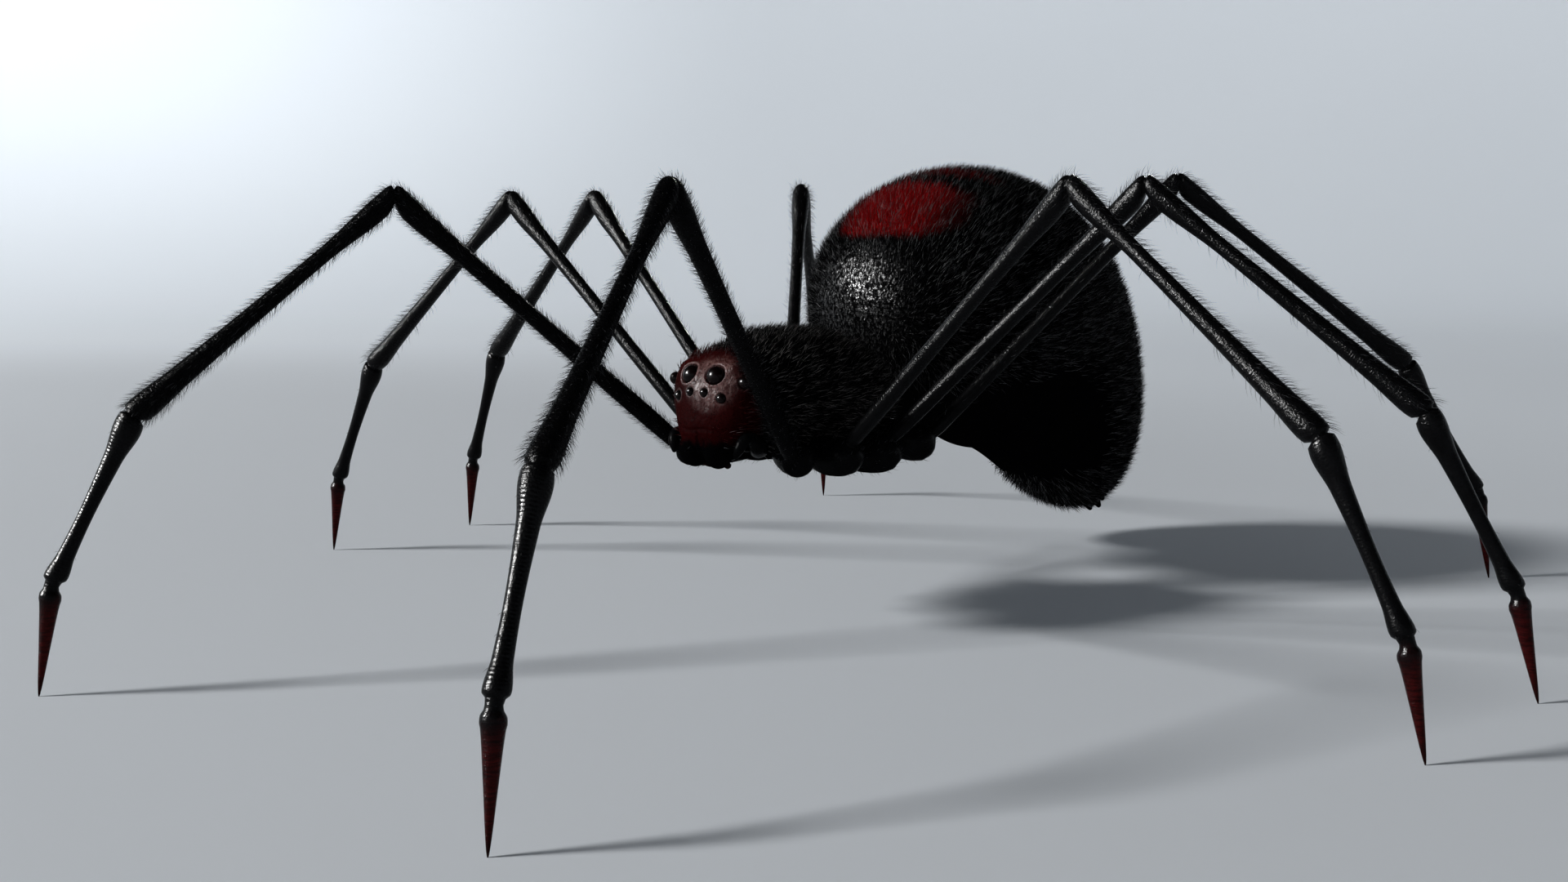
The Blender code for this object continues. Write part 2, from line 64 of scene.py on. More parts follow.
# Eyes, as (name, centre of the left ball, radius of the ball, depth of its socket, height of its rim)
EYES = (
    ("main", (0.298, -2.655, 4.960), 0.190, 0.085, 0.022),
    ("side", (0.866, -2.515, 4.868), 0.120, 0.030, 0.012),
    ("inner", (0.171, -2.850, 4.672), 0.085, 0.030, 0.010),
    ("outer", (0.522, -2.780, 4.578), 0.095, 0.030, 0.010),
)
SOCKET_EDGE = 1.06  # where a socket's wall stands, as a share of the ball's radius
RIM_PLACE = 1.17
RIM_WIDTH = 0.022

# Abdomen: a bent teardrop swept along an arc of three control points
ABDOMEN_ARC = np.array(((0.0, 2.87, 4.62), (0.0, 7.81, 8.63), (0.0, 11.18, 1.05)))
ABDOMEN_RADII = np.array((4.67, 1.56, 2.94))
ABDOMEN_WIDENING = 1.02
BELLY_FILL = 0.60  # how much fuller the underside is than the arc makes it
BELLY_FROM = 0.20  # where along the arc that begins
ABDOMEN_ROWS = 110
ABDOMEN_SIDES = 144

# Waist and spinnerets
WAIST_PATH = ((0.0, 1.70, 4.20, 0.44), (0.0, 2.30, 4.32, 0.40), (0.0, 2.90, 4.46, 0.38),
              (0.0, 3.45, 4.62, 0.46))
SPINNERET_ROOT = np.array((0.0, 11.50, 1.27))
SPINNERET_AIM = np.array((0.0, 0.68, -0.73))
SPINNERET_MOUND = ((-0.35, 0.42), (0.10, 0.38), (0.26, 0.30))  # (distance along the aim, radius)
SPINNERET_LENGTH = 0.51
SPINNERET_RADIUS = 0.135
SPINNERET_CIRCLE = 0.23
SPINNERETS = 6

# Mouthparts of the left side, as (x, y, z, radius)
CHELICERA_CENTRE = np.array((0.29, -2.60, 3.61))
CHELICERA_RADII = np.array((0.265, 0.33, 0.37))
FANG_PATH = ((0.27, -2.40, 3.36, 0.080), (0.25, -2.34, 3.30, 0.073), (0.21, -2.26, 3.26, 0.063),
             (0.17, -2.20, 3.25, 0.052), (0.13, -2.13, 3.25, 0.040), (0.09, -2.08, 3.26, 0.024))
PALP_PATH = ((0.70, -1.94, 3.60, 0.19), (0.85, -2.16, 3.67, 0.16), (0.89, -2.30, 3.77, 0.12),
             (0.90, -2.38, 3.83, 0.12), (0.89, -2.46, 3.84, 0.10), (0.87, -2.55, 3.80, 0.11),
             (0.83, -2.63, 3.66, 0.10), (0.78, -2.67, 3.52, 0.05))

# Joints of the left legs: root, knee, ankle, tarsus joint and tip
LEG_JOINTS = (
    ((1.34, -1.61, 3.29), (3.35, -7.04, 8.23), (4.99, -11.19, 4.57), (5.53, -12.46, 1.83),
     (5.65, -12.71, 0.0)),
    ((1.75, -0.77, 3.47), (6.87, -1.31, 8.33), (11.35, -1.69, 4.58), (12.79, -1.77, 1.74),
     (13.11, -1.74, 0.0)),
    ((1.74, 0.47, 3.45), (6.91, 1.20, 8.40), (11.54, 2.18, 4.66), (13.02, 2.54, 1.77),
     (13.38, 2.68, 0.0)),
    ((1.73, 1.80, 3.38), (4.97, 6.20, 8.64), (8.12, 10.77, 4.81), (9.25, 12.42, 1.94),
     (9.47, 12.73, 0.0)),
)

# Coxae of the left legs: inner end, middle and radius of the bulb under the leg's root
COXAE = (
    ((0.45, -1.05, 3.45), (1.34, -1.53, 3.37), 0.33),
    ((0.50, -0.45, 3.45), (1.75, -0.73, 3.35), 0.37),
    ((0.50, 0.40, 3.45), (1.76, 0.42, 3.32), 0.40),
    ((0.45, 1.05, 3.88), (1.72, 1.56, 3.41), 0.37),
)
TROCHANTER = 0.32
COXA_RINGS = 22
BURIED_RINGS = 4  # the rings of a coxa that lie in the thorax and carry no bristles

# Radii along a leg's segments, as (share of the length, radius). The front legs have thicker femora.
FRONT_FEMUR = ((0.0, 0.130), (0.03, 0.165), (0.15, 0.178), (0.60, 0.152), (0.80, 0.166), (0.94, 0.214),
               (0.975, 0.208), (0.990, 0.175), (1.0, 0.085))
FEMUR = ((0.0, 0.120), (0.03, 0.142), (0.15, 0.149), (0.60, 0.138), (0.80, 0.157), (0.94, 0.209),
         (0.975, 0.205), (0.990, 0.173), (1.0, 0.085))
TIBIA = ((0.0, 0.085), (0.010, 0.170), (0.03, 0.196), (0.06, 0.195), (0.28, 0.132), (0.58, 0.153),
         (0.84, 0.19), (0.965, 0.232), (0.99, 0.215), (1.0, 0.13))
METATARSUS = ((0.0, 0.13), (0.020, 0.215), (0.07, 0.235), (0.25, 0.16), (0.60, 0.122), (0.82, 0.14),
              (0.938, 0.187), (0.957, 0.180), (0.974, 0.130), (1.0, 0.116))
TARSUS = ((0.0, 0.116), (0.035, 0.126), (0.080, 0.170), (0.12, 0.175), (0.16, 0.160), (0.50, 0.100),
          (0.90, 0.036), (0.97, 0.020), (1.0, 0.010))
SEGMENTS = (("femur", FEMUR, 52), ("tibia", TIBIA, 46), ("metatarsus", METATARSUS, 40),
            ("tarsus", TARSUS, 26))  # name, radii and rings
LEG_SIDES = 20
KNEE_RELIEF = 0.35  # how far the knee opens on its underside, as a share of the radius there
LEAN_POWER = 4

# Markings on the skin and the coat, in millimetres
FACE_RED_Y = -2.22  # the red brown of the face ends behind this
FACE_RED_Z = 3.66  # and below this
BROW_SHEEN_SPOT = (0.26, -2.74, 4.88)  # middle of the brow's pale tint, a painted sheen, where the face is also glossier
FRONT_MARK = (3.13, 0.88, 1.58)  # the red mark's middle along Y, half its length and half its width
REAR_MARK = (4.85, 0.30, 1.30)  # and those of the fainter one behind it
MARK_EDGE_Z = (7.46, 7.70)  # the marks fade out downwards between these heights
SHEEN_SPOT = (-0.60, 2.14, 5.90)  # middle of the abdomen's thinly haired spot, which catches the light
TARSUS_RED_Z = 1.72  # the tarsi are dark red below this
RING_STEP = 0.055  # from one fine ring of the front metatarsi to the next

# The coat. Lengths are in millimetres, and amounts are shares of a coat piece's strands per area.
STRAND_SIDES = 3
STRAND_PATCH = 0.003  # how wide a strand's patch is on the OFBake map
ABDOMEN_HAIR = 0.31
HEAD_HAIR = 0.22
THORAX_HAIR = 0.28
ABDOMEN_CUTS = (0, 30, 45, 60, 78, ABDOMEN_ROWS - 1)  # rings that bound the abdomen's coat pieces
# Bristles along a leg, as (segment, amount at its start, amount at its end, length)
LEG_BRISTLES = (("coxa", 1.2, 1.2, 0.12), ("femur", 0.30, 1.2, 0.20), ("tibia", 1.3, 1.1, 0.24),
                ("metatarsus", 0.04, 0.04, 0.08))
FRONT_BRISTLES = (("femur", 1.6, 0.17), ("tibia", 1.8, 0.19))  # the front legs carry them all round

# Colours
BLACK_SKIN = (0.0013, 0.0013, 0.0015)
BLACK_HAIR = (0.0015, 0.0015, 0.0018)
# The grey strands are partly grey hairs and partly a painted sheen of single hairs
GREY_AND_SHEEN_HAIR = (0.105, 0.107, 0.110)
THORAX_BLACK_HAIR = (0.0018, 0.0018, 0.0020)
THORAX_GREY_AND_SHEEN_HAIR = (0.160, 0.152, 0.146)
GREY_AND_SHEEN_BRISTLE = (0.060, 0.062, 0.066)

# Lights, as (name, (turn from +X, rise, distance in metres), size in metres, watts). The sheen
# lights add gloss and nothing else.
KEY_LIGHT = ("key light", (231, 33.2, 0.350), 0.062, 0.92)
SHEEN_LIGHTS = (
    ("sheen light", (231, 24, 0.350), 0.056, 13.0),
    ("back sheen light", (112, 13, 0.300), 0.090, 8.0),
)
LIT_POINT = (0.0, 0.004, 0.004)

# Floor and backdrop, in millimetres
FLOOR_FLAT = 150.0  # how far out it is level
FLOOR_SWEEP = 130.0  # the radius of its sweep upwards
FLOOR_SIDES = 96
BACKDROP_GLOW = (-240.0, 95.0, 66.0)  # the brightest point of the light painted on the backdrop as glow

# Camera, as the photograph was taken
LENS = 38.48
SENSOR = 36.0
CAMERA_PLACE = (0.021017, -0.025431, 0.007433)
CAMERA_DIP = math.radians(6.792)
CAMERA_TURN = math.radians(39.985)


def unit(vectors):
    return vectors / np.maximum(np.linalg.norm(vectors, axis=-1, keepdims=True), 1e-12)


def eased_curve(stations, at):
    """Columns of the stations at each value, through smooth curves with no overshoot."""
    x, values = stations[:, 0], stations[:, 1:]
    step = np.diff(x)[:, None]
    slope = np.diff(values, axis=0) / step
    tangent = np.zeros_like(values)
    both = slope[:-1] * slope[1:]
    tangent[1:-1] = np.where(both > 0, 2 * both / np.where(both > 0, slope[:-1] + slope[1:], 1.0), 0.0)
    tangent[-1] = slope[-1]
    k = np.clip(np.searchsorted(x, at) - 1, 0, len(x) - 2)
    t = ((np.clip(at, x[0], x[-1]) - x[k]) / step[k, 0])[:, None]
    width = step[k]
    return ((2 * t**3 - 3 * t**2 + 1) * values[k] + (t**3 - 2 * t**2 + t) * width * tangent[k]
            + (3 * t**2 - 2 * t**3) * values[k + 1] + (t**3 - t**2) * width * tangent[k + 1])


def mirrored(values, side):
    """A point or (x, y, z, radius) rows of the left side, turned to the right where side is -1."""
    values = np.array(values, float)
    values[..., 0] *= side
    return values


def angles(sides):
    return 2 * np.pi * np.arange(sides) / sides


def smooth_step(value, low, high):
    t = np.clip((value - low) / (high - low), 0.0, 1.0)
    return t * t * (3 - 2 * t)


def ring_quads(rows, sides, closed=True):
    """Faces between rings of points that follow one another, each ring closed or left open."""
    row, side = np.meshgrid(np.arange(rows - 1), np.arange(sides if closed else sides - 1), indexing="ij")
    after = (side + 1) % sides
    return np.stack([row * sides + side, row * sides + after, (row + 1) * sides + after,
                     (row + 1) * sides + side], axis=-1).reshape(-1, 4)


class Form:
    """A closed surface of rings with a pole at either end, and the directions out of it and along it."""

    def __init__(self, name, rings, first_pole, last_pole, look=0):
        self.name = name
        self.rings = rings
        self.poles = (np.asarray(first_pole), np.asarray(last_pole))
        self.look = look
        around = np.roll(rings, -1, axis=1) - np.roll(rings, 1, axis=1)
        along = np.gradient(rings, axis=0)
        normals = unit(np.cross(around, along))
        middle = rings.mean(axis=1, keepdims=True)
        if ((rings - middle) * normals).sum() < 0:
            normals = -normals
        self.normals = normals
        self.along = unit(along)

    def points(self):
        return np.concatenate([self.rings.reshape(-1, 3), self.poles[0][None], self.poles[1][None]])

    def faces(self):
        rows, sides = self.rings.shape[:2]
        quads = ring_quads(rows, sides)
        side = np.arange(sides)
        after = (side + 1) % sides
        last = (rows - 1) * sides
        start = np.stack([after, side, np.full(sides, rows * sides)], axis=-1)
        end = np.stack([last + side, last + after, np.full(sides, rows * sides + 1)], axis=-1)
        corners = self.rings[:, [0, 1]]
        turn = np.cross(corners[:-1, 1] - corners[:-1, 0], corners[1:, 0] - corners[:-1, 0])
        if (turn * self.normals[:-1, 0]).sum() < 0:
            return quads[:, ::-1], start[:, ::-1], end[:, ::-1]
        return quads, start, end


def carapace_rings(ys):
    """Sections of the head and thorax in one run, as they are under the coat."""
    half_width, top, underside = eased_curve(CARAPACE, ys).T
    middle = (top + underside) / 2
    angle = angles(CARAPACE_SIDES)
    across = np.sign(np.cos(angle)) * np.abs(np.cos(angle)) ** (2 / SECTION_POWER)
    up = np.sign(np.sin(angle)) * np.abs(np.sin(angle)) ** (2 / SECTION_POWER)
    low = np.maximum(0.0, -up)
    tuck = 1.0 - FLANK_TUCK * low**0.6

    def closing(start, end, power):
        share = np.clip((ys - start) / (end - start), 0.0, 1.0)
        return (1.0 - share**power) ** (1.0 / power)

    tail = closing(TAIL_ROUNDING_Y, THORAX_END_Y, TAIL_POWER)
    brow = closing(NECK_Y, FACE_Y, FACE_POWER) * tail
    chin = closing(NECK_Y, FACE_Y, CHIN_POWER) * tail
    wide = brow[:, None] + (chin - brow)[:, None] * low * 0.6
    high = np.where(up >= 0, brow[:, None], chin[:, None])
    x = across * half_width[:, None] * wide * tuck
    z = middle[:, None] + up * (top - middle)[:, None] * high
    return np.stack([x, np.broadcast_to(ys[:, None], x.shape), z], axis=-1)


def swell(points):
    rise = np.zeros(points.shape[:-1])
    for place, height, spread in SWELLINGS:
        for side in (1, -1):
            away = np.linalg.norm(points - mirrored(place, side), axis=-1) / spread
            rise += height * np.exp(-away * away)
    return points + unit(points - HEAD_MIDDLE) * rise[..., None]


def sink_sockets(points):
    """Presses a socket into the face round each eye and raises a thin rim about it.

    Also gives how far each point lies on a rim and in a socket, from 0 to 1.
    """
    on_rim, in_pit = np.zeros(points.shape[:-1]), np.zeros(points.shape[:-1])
    for kind, centre, radius, depth, rim in EYES:
        for side in (1, -1):
            middle = mirrored(centre, side)
            outward = unit(middle - HEAD_MIDDLE)
            offset = points - middle
            reach = offset @ outward
            away = np.linalg.norm(offset - reach[..., None] * outward, axis=-1)
            near = reach > -2.5 * radius
            edge = SOCKET_EDGE * radius
            pit = 1.0 - smooth_step(away, edge - 0.035, edge + 0.025)
            ridge = np.exp(-(((away - RIM_PLACE * radius) / RIM_WIDTH) ** 2))
            points = points + outward * (near * (ridge * rim - pit * depth))[..., None]
            on_rim = np.maximum(on_rim, near * ridge * (1.0 if kind == "main" else 0.35))
            in_pit = np.maximum(in_pit, near * pit)
    return points, on_rim, in_pit


def crease_face(points):
    """The furrow under the brow, and the grooves where the chelicerae meet the face and each other."""
    x, y, z = points[..., 0], points[..., 1], points[..., 2]
    front = smooth_step(-y, 2.35, 2.6)
    wave = 3.98 + 0.02 * np.sin(9 * x) - 0.05 * x * x
    across = np.exp(-(((z - wave) / 0.030) ** 2)) * (1 - smooth_step(np.abs(x), 0.45, 0.75))
    middle = np.exp(-((x / 0.022) ** 2)) * (1 - smooth_step(z, 3.90, 4.02))
    points = points.copy()
    points[..., 1] += front * (0.035 * across + 0.045 * middle)
    return points


def carapace_form():
    t = 1.0 - (np.arange(1, HEAD_ROWS + 1) / HEAD_ROWS) ** 1.5
    head = NECK_Y + (FACE_Y - NECK_Y) * np.sin(0.5 * np.pi * t)
    back = np.linspace(0.0, 1.0, THORAX_ROWS + 1)[1:]
    thorax = NECK_Y + (THORAX_END_Y - NECK_Y) * np.sin(0.5 * np.pi * back * 0.992)
    rings = carapace_rings(np.concatenate([head, thorax]))
    rings, on_rim, in_pit = sink_sockets(swell(rings))
    rings = crease_face(rings)
    form = Form("carapace", rings, rings[0].mean(axis=0), rings[-1].mean(axis=0))
    form.rim, form.pit = on_rim, in_pit
    return form


def abdomen_form():
    s = (1 - np.cos(np.pi * np.arange(1, ABDOMEN_ROWS) / ABDOMEN_ROWS)) / 2
    weights = np.stack([(1 - s) ** 2, 2 * s * (1 - s), s**2], axis=1)
    centre = weights @ ABDOMEN_ARC
    first_leg, last_leg = ABDOMEN_ARC[1:] - ABDOMEN_ARC[:-1]
    along = unit(np.outer(1 - s, first_leg) + np.outer(s, last_leg))
    square = np.stack([np.zeros_like(s), -along[:, 2], along[:, 1]], axis=1)
    radius = np.sqrt(1 - (2 * s - 1) ** 2) * (weights @ ABDOMEN_RADII)
    angle = angles(ABDOMEN_SIDES)
    across = np.array((ABDOMEN_WIDENING, 0.0, 0.0)) * np.cos(angle)[:, None]
    fill = BELLY_FILL * np.sin(np.pi * np.clip((s - BELLY_FROM) / (1 - BELLY_FROM), 0, 1)) ** 2
    height = np.outer(radius, np.sin(angle)) - np.outer(fill, np.maximum(0.0, -np.sin(angle)))
    rings = centre[:, None] + radius[:, None, None] * across[None] + square[:, None] * height[..., None]
    form = Form("abdomen", rings, ABDOMEN_ARC[0], ABDOMEN_ARC[2])
    under = smooth_step(-np.sin(angle), 0.15, 0.45)
    form.bare = under * (1 - smooth_step(s, 0.84, 0.93))[:, None]
    return form


def frame_across(along):
    """Two directions square to a path, the first level and the second nearest to upwards."""
    along = unit(along)
    level = unit(np.cross((0.0, 0.0, 1.0), along))
    return level, np.cross(along, level)


def ring_round(centre, along, radius, sides):
    level, upward = frame_across(along)
    angle = angles(sides)
    return centre + radius * (np.cos(angle)[:, None] * level + np.sin(angle)[:, None] * upward)


def length_along(path):
    """How far along a path of points, with their radii behind them, each point lies."""
    steps = np.linalg.norm(np.diff(path[:, :3], axis=0), axis=1)
    return np.concatenate([[0.0], np.cumsum(steps)])


def tube_form(name, path, sides, look=0, rows=24):
    """A smooth tapering tube through (x, y, z, radius) points, rounded at both ends."""
    path = np.asarray(path, float)
    run = length_along(path)
    fine = eased_curve(np.column_stack([run, path]), np.linspace(0, run[-1], rows))
    tangent = unit(np.gradient(fine[:, :3], axis=0))

    def cap(row, along, way, shares):
        return [(row[:3] + way * along * row[3] * math.sqrt(1 - c * c), along, row[3] * c) for c in shares]

    body = [(row[:3], along, row[3]) for row, along in zip(fine, tangent)]
    first = cap(fine[0], tangent[0], -1, (0.35, 0.75))
    last = cap(fine[-1], tangent[-1], 1, (0.75, 0.35))
    rings = np.array([ring_round(*station, sides) for station in first + body + last])
    poles = fine[0, :3] - tangent[0] * fine[0, 3], fine[-1, :3] + tangent[-1] * fine[-1, 3]
    return Form(name, rings, *poles, look)


def ball_form(name, centre, radii, sides=40, rows=26, look=0):
    polar = np.pi * np.arange(1, rows) / rows
    angle = angles(sides)
    shape = np.stack([np.outer(np.sin(polar), np.cos(angle)), np.outer(np.sin(polar), np.sin(angle)),
                      np.outer(np.cos(polar), np.ones(sides))], axis=-1)
    radii = np.broadcast_to(radii, 3)
    pole = np.array((0.0, 0.0, radii[2]))
    return Form(name, centre + shape * radii, centre + pole, centre - pole, look)


def segment_rings(start, end, faces, profile, rows, relief):
    """Rings of one leg segment, their ends slanted onto the planes shared with its neighbours."""
    along = unit(end - start)
    level, upward = frame_across(along)
    length = np.linalg.norm(end - start)
    profile = np.array(profile)
    share = (1 - np.cos(np.pi * np.arange(rows + 1) / rows)) / 2
    share = 0.6 * share + 0.4 * np.arange(rows + 1) / rows
    share = np.unique(np.concatenate([share, profile[:, 0]]))
    radius = eased_curve(profile, share)[:, 0]
    angle = angles(LEG_SIDES)
    y = radius[:, None] * np.cos(angle)
    z = radius[:, None] * np.sin(angle)
    s = share[:, None]

    def slant(face):
        return -(face @ level * y + face @ upward * z) / (face @ along)

    below = np.maximum(0.0, -z - 0.2 * radius[:, None])
    opened = below * (relief[0] * (1 - s) ** 8 - relief[1] * s**8)
    x = s * length + slant(faces[0]) * (1 - s) ** LEAN_POWER + slant(faces[1]) * s**LEAN_POWER + opened
    return start + x[..., None] * along + y[..., None] * level + z[..., None] * upward, s[:, 0] * length


def leg_form(number, side):
    """One leg from inside the thorax to the tip of its tarsus, and where each segment runs in it."""
    joints = mirrored(LEG_JOINTS[number - 1], side)
    inner, bulb, full = COXAE[number - 1]
    inner, bulb = mirrored((inner, bulb), side)
    along = [unit(b - a) for a, b in zip(joints, joints[1:])]
    end = joints[0] + along[0] * TROCHANTER
    reach_in, reach_out = bulb - inner, end - bulb
    stations = np.array([(*inner, 0.55 * full), (*(inner + reach_in * 0.35), 0.85 * full),
                         (*(inner + reach_in * 0.75), full), (*(bulb + reach_out * 0.22), full),
                         (*(bulb + reach_out * 0.62), 0.86 * full), (*(bulb + reach_out * 0.97), 0.155)])
    run = length_along(stations)
    steps = np.linspace(0, run[-1], COXA_RINGS)
    fine = eased_curve(np.column_stack([run, stations]), steps)
    tangent = unit(np.gradient(fine[:, :3], axis=0))
    rings = [ring_round(row[:3], t, row[3], LEG_SIDES) for row, t in zip(fine, tangent)]
    runs = [steps - run[-1]]
    spans = {"coxa": (0, len(rings))}
    faces = [along[0]] + [unit(a + b) for a, b in zip(along, along[1:])] + [np.array((0.0, 0.0, -1.0))]
    starts = [end, *joints[1:]]
    travelled = 0.0
    for i, (name, profile, rows) in enumerate(SEGMENTS):
        if number == 1 and name == "femur":
            profile = FRONT_FEMUR
        relief = {"femur": (0.0, KNEE_RELIEF), "tibia": (KNEE_RELIEF, 0.0)}.get(name, (0.0, 0.0))
        part, length = segment_rings(starts[i], joints[i + 1], faces[i:i + 2], profile, rows, relief)
        if i:
            part, length = part[1:], length[1:]
        spans[name] = (len(rings), len(rings) + len(part))
        rings.extend(part)
        runs.append(length + travelled)
        travelled += length[-1]
    rings = np.array(rings)
    word = "left" if side > 0 else "right"
    form = Form(f"leg{number}_{word}", rings, inner, rings[-1].mean(axis=0), look=1)
    form.leg_run = np.repeat(np.concatenate(runs)[:, None], LEG_SIDES, axis=1)
    form.spans = spans
    return form


def make_mesh(name, points, polygons):
    """A smooth-shaded object from points in millimetres and a list of face arrays."""
    mesh = bpy.data.meshes.new(name)
    sizes = np.concatenate([np.full(len(p), p.shape[1]) for p in polygons])
    corners = np.concatenate([p.ravel() for p in polygons]).astype(np.int32)
    mesh.vertices.add(len(points))
    mesh.vertices.foreach_set("co", np.ascontiguousarray(points * MM, np.float32).ravel())
    mesh.loops.add(len(corners))
    mesh.loops.foreach_set("vertex_index", corners)
    mesh.polygons.add(len(sizes))
    starts = np.concatenate([[0], np.cumsum(sizes)[:-1]]).astype(np.int32)
    mesh.polygons.foreach_set("loop_start", starts)
    mesh.polygons.foreach_set("loop_total", sizes.astype(np.int32))
    mesh.update(calc_edges=True)
    mesh.shade_smooth()
    obj = bpy.data.objects.new(name, mesh)
    bpy.context.scene.collection.objects.link(obj)
    return obj


def join_forms(name, forms, materials):
    """Makes one object of several forms, each face with its form's material."""
    points, polygons, looks, offset = [], [], [], 0
    for form in forms:
        own = form.points()
        for group in form.faces():
            polygons.append(group + offset)
            looks.append(np.full(len(group), form.look))
        points.append(own)
        offset += len(own)
    obj = make_mesh(name, np.concatenate(points), polygons)
    for surface in materials:
        obj.data.materials.append(surface)
    obj.data.polygons.foreach_set("material_index", np.concatenate(looks).astype(np.int32))
    return obj


def connect(tree, value, socket):
    """Sets a socket to a value, or links it to the output of another node."""
    if isinstance(value, bpy.types.NodeSocket):
        tree.links.new(value, socket)
    else:
        socket.default_value = (*value, 1.0) if socket.type == "RGBA" else value


def add_node(tree, kind, inputs, **settings):
    """Adds a node with its settings, then connects its inputs, given by name or number."""
    made = tree.nodes.new(kind)
    for key, value in settings.items():
        setattr(made, key, value)
    for key, value in inputs.items():
        connect(tree, value, made.inputs[key])
    return made


class Finish:
    """A procedural material, wired on Object coordinates in millimetres."""

    def __init__(self, name):
        self.material = bpy.data.materials.new(name)
        self.material.use_nodes = True
        self.tree = self.material.node_tree
        place = self.node("ShaderNodeTexCoord", {}).outputs["Object"]
        place = self.node("ShaderNodeVectorMath", {0: place, "Scale": 1.0 / MM}, operation="SCALE")
        self.place = place.outputs[0]
        self.x, self.y, self.z = self.node("ShaderNodeSeparateXYZ", {0: self.place}).outputs

    def node(self, kind, inputs, **settings):
        return add_node(self.tree, kind, inputs, **settings)

    def sum(self, operation, *numbers):
        return self.node("ShaderNodeMath", dict(enumerate(numbers)), operation=operation).outputs[0]

    def plus(self, first, second):
        return self.sum("ADD", first, second)

    def times(self, first, second):
        return self.sum("MULTIPLY", first, second)

    def scaled(self, value, factor, shift):
        return self.sum("MULTIPLY_ADD", value, factor, shift)

    def kept(self, name):
        """A number that the skin keeps on its points."""
        return self.node("ShaderNodeAttribute", {}, attribute_name=name).outputs["Fac"]

    def ramp(self, value, low, high, start=0.0, end=1.0):
        """start at low and end at high, with a smooth change between."""
        inputs = dict(enumerate((value, low, high, start, end)))
        return self.node("ShaderNodeMapRange", inputs, interpolation_type="SMOOTHSTEP").outputs[0]

    def noise(self, scale, detail=2.0, roughness=0.5, stretch=None, place=None):
        place = place or self.place
        if stretch:
            place = self.node("ShaderNodeMapping", {"Scale": stretch, "Vector": place}).outputs[0]
        inputs = {"Scale": scale, "Detail": detail, "Roughness": roughness, "Vector": place}
        return self.node("ShaderNodeTexNoise", inputs).outputs[0]

    def cells(self, scale):
        return self.node("ShaderNodeTexVoronoi", {"Scale": scale, "Vector": self.place}).outputs["Distance"]

    def mix(self, share, first, second):
        inputs = {"Factor": share, 6: first, 7: second}
        return self.node("ShaderNodeMix", inputs, data_type="RGBA").outputs[2]

    def distance_from(self, place):
        made = self.node("ShaderNodeVectorMath", {0: self.place, 1: place}, operation="DISTANCE")
        return made.outputs["Value"]

    def bump(self, height, strength, distance, before=None):
        inputs = {"Strength": strength, "Distance": distance * MM, "Height": height}
        if before:
            inputs["Normal"] = before
        return self.node("ShaderNodeBump", inputs).outputs[0]

    def tone(self, scale):
        """A value that is nearly the same all over one strand and differs from strand to strand."""
        chart = self.node("ShaderNodeUVMap", {}, uv_map="OFBake").outputs[0]
        return self.noise(scale, 1.0, place=chart)

    def finish(self, colour, roughness, specular, **others):
        """Connects the shader, whose other inputs are given by name, and gives the material."""
        inputs = {"Base Color": colour, "Roughness": roughness, "Specular IOR Level": specular, **others}
        for name, value in inputs.items():
            connect(self.tree, value, self.tree.nodes["Principled BSDF"].inputs[name])
        return self.material


def mark_share(look):
    """How red the back is: one broad spot on the front slope and a fainter one behind it."""
    wobble = look.scaled(look.noise(1.6, 4.0), 0.56, -0.28)
    fine = look.scaled(look.noise(9.0), 0.20, -0.10)
    bowed = look.scaled(look.times(look.x, look.x), -0.25, look.y)

    def oval(y, long, wide):
        back = look.times(look.sum("SUBTRACT", bowed, y), 1.0 / long)
        across = look.times(look.x, 1.0 / wide)
        away = look.sum("SQRT", look.plus(look.times(back, back), look.times(across, across)))
        return look.plus(look.plus(away, wobble), fine)

    front = look.ramp(oval(*FRONT_MARK), 1.10, 0.86)
    front = look.times(front, look.ramp(look.sum("ABSOLUTE", look.x), 0.60, 1.40, 1.0, 0.20))
    rear = look.ramp(oval(*REAR_MARK), 1.15, 0.70, 0.0, 0.40)
    high = look.ramp(look.plus(look.z, look.scaled(wobble, 0.4, fine)), *MARK_EDGE_Z)
    return look.times(look.sum("MAXIMUM", front, rear), high)


def body_colour(look, dark):
    """The colour of the marked body, and how far each point belongs to the red brown face."""
    red = look.mix(look.noise(4.0, 3.0), (0.150, 0.0015, 0.0020), (0.40, 0.0050, 0.0065))
    colour = look.mix(mark_share(look), dark, red)
    ragged = look.scaled(look.noise(7.0, 3.0), 0.30, -0.15)
    front = look.ramp(look.plus(look.y, ragged), FACE_RED_Y + 0.18, FACE_RED_Y - 0.12)
    above = look.ramp(look.plus(look.z, ragged), FACE_RED_Z - 0.02, FACE_RED_Z + 0.22)
    return colour, look.times(front, above)


